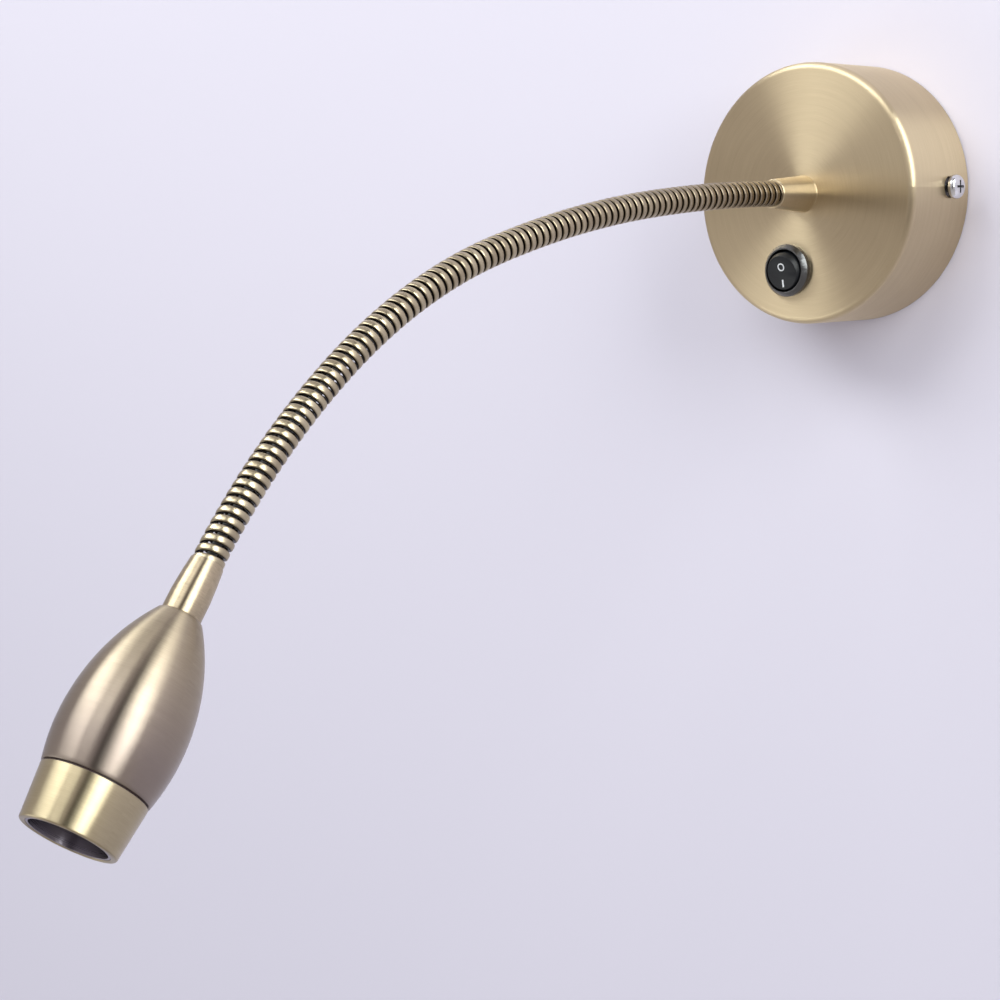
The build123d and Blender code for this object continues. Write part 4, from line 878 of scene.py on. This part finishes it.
# ---- cup ----------------------------------------------------------------------------------------
class LAMP_OT_cup(bpy.types.Operator):
    """Finishes the wall cup, its plate and its screws"""
    bl_idname = "reading_lamp.cup"
    bl_label = "Dress the wall cup"

    def execute(self, context):
        finish_node("wall_cup", cup_brass(settings("brass")))
        # Painted shade: the plate is made nearly black so that the side screws' holes read as dark shade.
        finish_node("wall_plate", zinc_steel("black_zinc", (0.055, 0.053, 0.056), (0.11, 0.105, 0.108)))
        zinc = zinc_steel("zinc_steel")
        for node in ("earth_lug", "lock_washer"):
            finish_node(node, zinc)
        chrome = metal("chrome_screw", (0.80, 0.80, 0.81), (0.62, 0.62, 0.64), 0.14, 300.0)
        for node in ("side_screws", "plate_screws", "earth_screw", "terminal_screws", "board_screws"):
            finish_node(node, chrome)
        turned = metal("turned_brass", (0.62, 0.50, 0.27), (0.50, 0.38, 0.19), 0.32, 400.0, (1.0, 6.0, 1.0))
        for node in ("threaded_tube", "tube_nut", "head_nut", "switch_terminals", "rocker_contact"):
            finish_node(node, turned)
        return {"FINISHED"}


# ---- ferrule, hose and head ---------------------------------------------------------------------
def add_turned(name, corners, place, material, slot, body, *nodes):
    """A lathe-turned piece that stands for CAD nodes."""
    piece = new_piece(name, turned_mesh(name, rounded(corners), place), material)
    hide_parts(*nodes)
    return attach(piece, body)


class LAMP_OT_base_ferrule(bpy.types.Operator):
    """Turns the conical ferrule on the cup's face"""
    bl_idname = "reading_lamp.base_ferrule"
    bl_label = "Turn the base ferrule"

    def execute(self, context):
        given = settings("brass")
        brass = turned_brass("ferrule_brass", given.cup_colour, given.cup_shade, given)
        corners = [(0.0, 4.95, 0.0), (0.0, 7.1, 0.0), (0.2, 7.1, 0.05), (0.5, 6.95, 0.2), (18.9, 5.6, 0.25),
                   (19.25, 5.3, 0.15), (19.25, 4.35, 0.1), (12.45, 4.35, 0.1), (12.45, 2.7, 0.0),
                   (8.3, 2.7, 0.0), (8.3, 4.95, 0.0)]
        add_turned("ferrule_at_cup", corners, face_place, brass, "brushed_brass", "base", "base_ferrule")
        return {"FINISHED"}


class LAMP_OT_hose(bpy.types.Operator):
    """Winds the hose from strip and wire, one length for each pivot"""
    bl_idname = "reading_lamp.hose"
    bl_label = "Wind the hose"

    def execute(self, context):
        given = settings("hose")
        scene = context.scene
        tree = hose_tree(hose_brass(given), groove_wire(given))
        spare = HOSE_SPARE * RIB_PITCH
        lead_in = (HOSE_SPARE + BASE_RIBS + HEAD_RIBS - LINK_RIBS) * RIB_PITCH
        before = NECK_POINTS[0] - Vector((0.0, -spare, 0.0))
        after = NECK_POINTS[-1] + HEAD_ALONG * spare
        points = [point * MM for point in (before, *NECK_POINTS, after)]
        curve = route_line("hose_centreline", points, 16)
        holder = bpy.data.objects.new("hose_centreline", curve)
        scene.collection.objects.link(holder)
        start, end = points[1], points[-2]
        for number in range(PIVOT_COUNT):
            values = {"Pitch": given.pitch, "First turn": float(number * LINK_RIBS),
                      "Turns": float(LINK_RIBS), "Lead in": lead_in * MM,
                      "Band width": given.band_width, "Band height": given.band_height,
                      "Band radius": given.band_radius, "Wire width": given.wire_width,
                      "Wire height": given.wire_height, "Wire radius": given.wire_radius,
                      "Flatness": given.flatness}
            mesh = run_tree(holder, tree, values)
            mesh.name = f"hose_{number + 1:02d}"
            form = bmesh.new()
            form.from_mesh(mesh)
            for first, place, way in ((0, start, Vector((0, 1, 0))), (PIVOT_COUNT - 1, end, HEAD_ALONG)):
                if number == first:
                    cut = bmesh.ops.bisect_plane(form, geom=form.verts[:] + form.edges[:] + form.faces[:],
                                                 plane_co=place, plane_no=way, clear_outer=True)
                    rim = [edge for edge in cut["geom_cut"] if isinstance(edge, bmesh.types.BMEdge)]
                    bmesh.ops.holes_fill(form, edges=rim, sides=0)
            bmesh.ops.recalc_face_normals(form, faces=form.faces)
            form.to_mesh(mesh)
            form.free()
            smooth(mesh, 50.0)
            piece = bpy.data.objects.new(mesh.name, mesh)
            scene.collection.objects.link(piece)
            nodes = [f"neck_link_{number:02d}"]
            if number == PIVOT_COUNT - 1:
                nodes.append(f"neck_link_{PIVOT_COUNT:02d}")
            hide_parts(*nodes)
            pivot = NECK_POINTS[number + 1] * MM
            way = (NECK_POINTS[number + 2] - NECK_POINTS[number]).normalized() * (BLEND_REACH * MM)
            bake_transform(piece, BODIES[number], BODIES[number + 1], start=pivot - way, end=pivot + way)
        bpy.data.objects.remove(holder)
        return {"FINISHED"}


def bullet_corners():
    """The shell's outline as (x, r, corner radius), outside first and then the cavity."""
    start, widest_at, end = SHELL_START, 55.5, SHELL_END
    widest, start_r, end_r = 18.35, 6.7, 16.35
    rear = ((widest_at - start) ** 2 + (widest - start_r) ** 2) / (2 * (widest - start_r))
    front = ((end - widest_at) ** 2 + (widest - end_r) ** 2) / (2 * (widest - end_r))
    outside = arc(widest_at, widest - rear, rear, start + 0.5, widest_at, 36)
    outside += arc(widest_at, widest - front, front, widest_at + 1.0, end - 0.16, 16)
    wall = 1.5
    hollow = arc(widest_at, widest - rear, rear - wall, 58.0 - 2.5, 24.2, 24)
    corners = [(start, 4.05, 0.0), (start, 6.2, 0.2)] + outside
    corners += [(end, end_r - 0.14, 0.05), (end, 14.9, 0.1), (58.2, 14.9, 0.0), (58.2, 16.8, 0.0)]
    return corners + hollow + [(24.2, 4.05, 0.0)]


class LAMP_OT_head(bpy.types.Operator):
    """Turns the head's ferrule, shell, front ring and sleeve"""
    bl_idname = "reading_lamp.head"
    bl_label = "Turn the head"

    def execute(self, context):
        given = settings("brass")
        cone = turned_brass("head_ferrule_brass", given.cup_colour, given.shell_shade, given)
        shell = turned_brass("shell_bronze", given.shell_colour, given.shell_shade, given, given.shell_painted_reflection)
        ring = turned_brass("ring_brass", given.ring_colour, given.ring_shade, given)
        corners = [(0.0, 4.35, 0.1), (0.0, 5.15, 0.3), (5.0, 5.65, 3.0), (11.0, 6.05, 3.0),
                   (SHELL_START, 6.05, 0.12), (SHELL_START, 4.0, 0.0), (28.2, 4.0, 0.2), (28.2, 2.4, 0.0),
                   (6.8, 2.4, 0.0), (6.8, 4.35, 0.0)]
        add_turned("ferrule_at_head", corners, head_point, cone, "brushed_brass", "head", "head_ferrule")
        add_turned("shell", bullet_corners(), head_point, shell, "bronze_brass", "head", "head_shell")
        corners = [(62.8, 12.8, 0.2), (62.8, 14.85, 0.2), (RING_START, 14.85, 0.0), (RING_START, 16.2, 0.2),
                   (MOUTH_AT - RIM_ROUND, 14.65, 0.25), (MOUTH_AT, 14.3, 0.2), (MOUTH_AT, 12.8, 0.15)]
        add_turned("mouth_ring", corners, head_point, ring, "brushed_brass", "head", "front_ring")
        front = MOUTH_AT - SLEEVE_RECESS
        corners = [(74.7, 11.95, 0.0), (74.7, 12.75, 0.0), (front, 12.75, 0.1), (front, 11.95, 0.1)]
        add_turned("dark_sleeve", corners, head_point, tunnel_black(), "tunnel_black", "head",
                   "glare_tunnel")
        finish_node("joint_ring", moulded("joint_dark", (0.030, 0.012, 0.010), 0.5))
        return {"FINISHED"}


class LAMP_OT_optic(bpy.types.Operator):
    """Finishes the light source, its heat sink and its lens"""
    bl_idname = "reading_lamp.optic"
    bl_label = "Dress the light source"

    def execute(self, context):
        finish_node("heat_sink", metal("sink_aluminium", (0.74, 0.75, 0.77), (0.60, 0.61, 0.63), 0.34, 260.0))
        finish_node("led_board", circuit_board("board_white", (0.78, 0.79, 0.77), (0.62, 0.63, 0.60)))
        finish_node("led_chip", moulded("led_yellow", (0.86, 0.66, 0.12), 0.35, 2600.0))
        finish_node("lens_holder", moulded("part_black", (0.014, 0.014, 0.015), 0.42))
        finish_node("lens", clear_optic("lens_clear"))
        return {"FINISHED"}


# ---- switch -------------------------------------------------------------------------------------
class LAMP_OT_switch(bpy.types.Operator):
    """Rounds and finishes the rocker switch and its marks"""
    bl_idname = "reading_lamp.switch"
    bl_label = "Dress the switch"

    def execute(self, context):
        given = settings("switch")
        edge = given.edge / MM
        bezel = moulded("bezel_black", tuple(given.bezel_colour), 0.34, 2400.0, 0.00003, 1.0, 1.62)
        satin = moulded("rocker_black", tuple(given.rocker_colour), 0.42, 2400.0, 0.00002, 0.0)
        white = moulded("mark_white", tuple(given.mark_colour), 0.5, 3000.0)
        for name, node, material, body in (("switch_housing", "switch_body", bezel, "base"),
                                           ("switch_rocker", "rocker", satin, "rocker")):
            piece = new_piece(name, softened(node, edge), material)
            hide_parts(node)
            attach(piece, body)
        finish_node("rocker_marks", white)
        return {"FINISHED"}


# ---- driver, terminals and leads ----------------------------------------------------------------
NECK_ROUTE = front_route((12.0, 17.4, 13.6), (11.9, 12.2, 13.8), (9.9, 7.4, 16.2), (5.2, 3.2, 20.6),
                         (1.0, 0.6, 25.0), (0.0, 0.0, 31.0))
HEAD_ROUTE = head_route((22.2, 0.0, 0.0), (38.8, 0.0, 0.4), (62.5, 0.0, 0.0))
LIVE_ROUTE = front_route((15.333, -26.0, 6.55), (15.4, -31.5, 6.7), (11.5, -37.2, 7.0),
                         (4.5, -40.0, 7.6), (-2.5, -39.3, 9.2), (-6.6, -36.0, 12.2), (-7.2, -32.6, 15.8))
SWITCHED_ROUTE = front_route((-7.2, -25.6, 15.8), (-7.6, -23.2, 12.0), (-9.8, -18.4, 8.8),
                             (-13.5, -11.5, 8.0), (-16.5, -3.5, 9.0), (-17.4, 5.0, 11.6),
                             (-16.6, 12.0, 13.8), (-16.0, 17.4, 14.8))
NEUTRAL_ROUTE = front_route((24.0, -14.0, 6.55), (24.3, -7.6, 7.0), (22.4, -0.2, 8.0), (16.8, 5.4, 9.2),
                            (9.2, 7.9, 10.6), (1.6, 8.2, 12.5), (-4.6, 8.7, 14.1), (-8.7, 10.5, 14.75),
                            (-10.7, 13.6, 14.85), (-11.0, 17.4, 14.8))
EARTH_ROUTE = front_route((32.667, -26.0, 6.55), (32.7, -31.5, 6.1), (28.0, -37.4, 5.2),
                          (17.0, -42.0, 4.7), (2.0, -43.8, 4.5), (-13.0, -41.6, 4.4),
                          (-25.0, -36.0, 4.35), (-32.0, -29.5, 4.3), (-34.0, -22.5, 4.4))


def earth_cover(name):
    """Green insulation with its yellow stripe wound slowly round."""
    finish = Finish(name, Roughness=0.42, IOR=1.5)
    uv = finish.add("ShaderNodeUVMap", uv_map="turned").outputs[0]
    u, v, _ = finish.split(uv)
    turn = finish.calc("FRACT", finish.calc("ADD", u, finish.calc("MULTIPLY", v, 60.0)))
    stripe = finish.calc("GREATER_THAN", turn, 0.62)
    fine = finish.noise(finish.object_place(), 1400.0, 3.0, 0.6)
    colour = finish.blend(stripe, (0.03, 0.22, 0.05, 1.0), (0.72, 0.58, 0.03, 1.0))
    return finish.set(Base_Color=colour, Normal=finish.relief(fine, 0.00002, 0.3))


class LAMP_OT_wiring(bpy.types.Operator):
    """Finishes the driver and terminals and lays the leads"""
    bl_idname = "reading_lamp.wiring"
    bl_label = "Dress the wiring"

    def execute(self, context):
        white = moulded("driver_white", (0.74, 0.74, 0.72), 0.42)
        for node in ("driver_case", "driver_lid"):
            finish_node(node, white)
        finish_node("driver_board", circuit_board("board_green", (0.02, 0.16, 0.06), (0.05, 0.26, 0.10)))
        finish_node("driver_parts", moulded("part_black_cup", (0.016, 0.016, 0.018), 0.38))
        finish_node("terminal_block", moulded("terminal_clear", (0.70, 0.72, 0.70), 0.3, 900.0, 0.00002, 0.3))
        covers = {"live_wire": (LIVE_ROUTE, moulded("wire_brown", (0.16, 0.065, 0.030), 0.4), "wire_brown"),
                  "switched_wire": (SWITCHED_ROUTE, None, "wire_brown"),
                  "neutral_wire": (NEUTRAL_ROUTE, moulded("wire_blue", (0.03, 0.12, 0.42), 0.4), "wire_blue"),
                  "earth_wire": (EARTH_ROUTE, earth_cover("wire_earth"), "wire_earth")}
        brown = covers["live_wire"][1]
        for name, (route, material, slot) in covers.items():
            points = line_points(route_line(name + "_route", route))
            mesh = tube_mesh(name + "_cover", points, WIRE_RADIUS * MM)
            piece = new_piece(name + "_cover", mesh, material or brown)
            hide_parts(name)
            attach(piece, "base")
        grey = moulded("lead_grey", (0.24, 0.24, 0.25), 0.45)
        pivots = [point * MM for point in NECK_POINTS[1:-1]]
        points = line_points(route_line("neck_lead_route", [*NECK_ROUTE, *pivots, *HEAD_ROUTE]))
        cuts = [NECK_POINTS[0] * MM]
        cuts += [(a + b) / 2 for a, b in zip(pivots, pivots[1:])]
        cuts.append(NECK_POINTS[-1] * MM)
        marks = [min(range(len(points)), key=lambda index: (points[index] - cut).length) for cut in cuts]
        spans = [(0, marks[0])] + list(zip(marks, marks[1:])) + [(marks[-1], len(points) - 1)]
        for number, (first, last) in enumerate(spans):
            name = f"neck_lead_{number:02d}"
            mesh = tube_mesh(name, points[first:last + 1], LEAD_RADIUS * MM)
            piece = new_piece(name, mesh, grey)
            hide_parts("neck_lead")
            if number == 0:
                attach(piece, "base")
            elif number == len(spans) - 1:
                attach(piece, "head")
            else:
                pivot = pivots[number - 1]
                way = (NECK_POINTS[number + 1] - NECK_POINTS[number - 1]).normalized() * (BLEND_REACH * MM)
                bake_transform(piece, BODIES[number - 1], BODIES[number], start=pivot - way, end=pivot + way)
        return {"FINISHED"}


# ---- sidebar and registration -------------------------------------------------------------------
OPERATORS = (LAMP_OT_stage, LAMP_OT_cup, LAMP_OT_base_ferrule, LAMP_OT_hose, LAMP_OT_head, LAMP_OT_optic,
             LAMP_OT_switch, LAMP_OT_wiring)


class LAMP_PT_sidebar(bpy.types.Panel):
    """Settings and pieces of the reading lamp"""
    bl_idname = "LAMP_PT_sidebar"
    bl_label = "Reading lamp"
    bl_space_type = "VIEW_3D"
    bl_region_type = "UI"
    bl_category = "Reading lamp"

    def draw(self, context):
        for name, kind in SETTINGS.items():
            column = self.layout.column(align=True)
            column.label(text=kind.__doc__)
            for item in kind.__annotations__:
                column.prop(settings(name), item)
        for kind in OPERATORS:
            self.layout.operator(kind.bl_idname)


def register():
    for name, kind in SETTINGS.items():
        bpy.utils.register_class(kind)
        setattr(bpy.types.Scene, "reading_lamp_" + name, bpy.props.PointerProperty(type=kind))
    for kind in (*OPERATORS, LAMP_PT_sidebar):
        bpy.utils.register_class(kind)


def unregister():
    for kind in (LAMP_PT_sidebar, *reversed(OPERATORS)):
        bpy.utils.unregister_class(kind)
    for name, kind in SETTINGS.items():
        delattr(bpy.types.Scene, "reading_lamp_" + name)
        bpy.utils.unregister_class(kind)


def main():
    register()
    lamp = bpy.ops.reading_lamp
    for step in (lamp.stage, lamp.cup, lamp.base_ferrule, lamp.hose, lamp.head, lamp.optic, lamp.switch,
                 lamp.wiring):
        step()


if __name__ == "__main__":
    main()
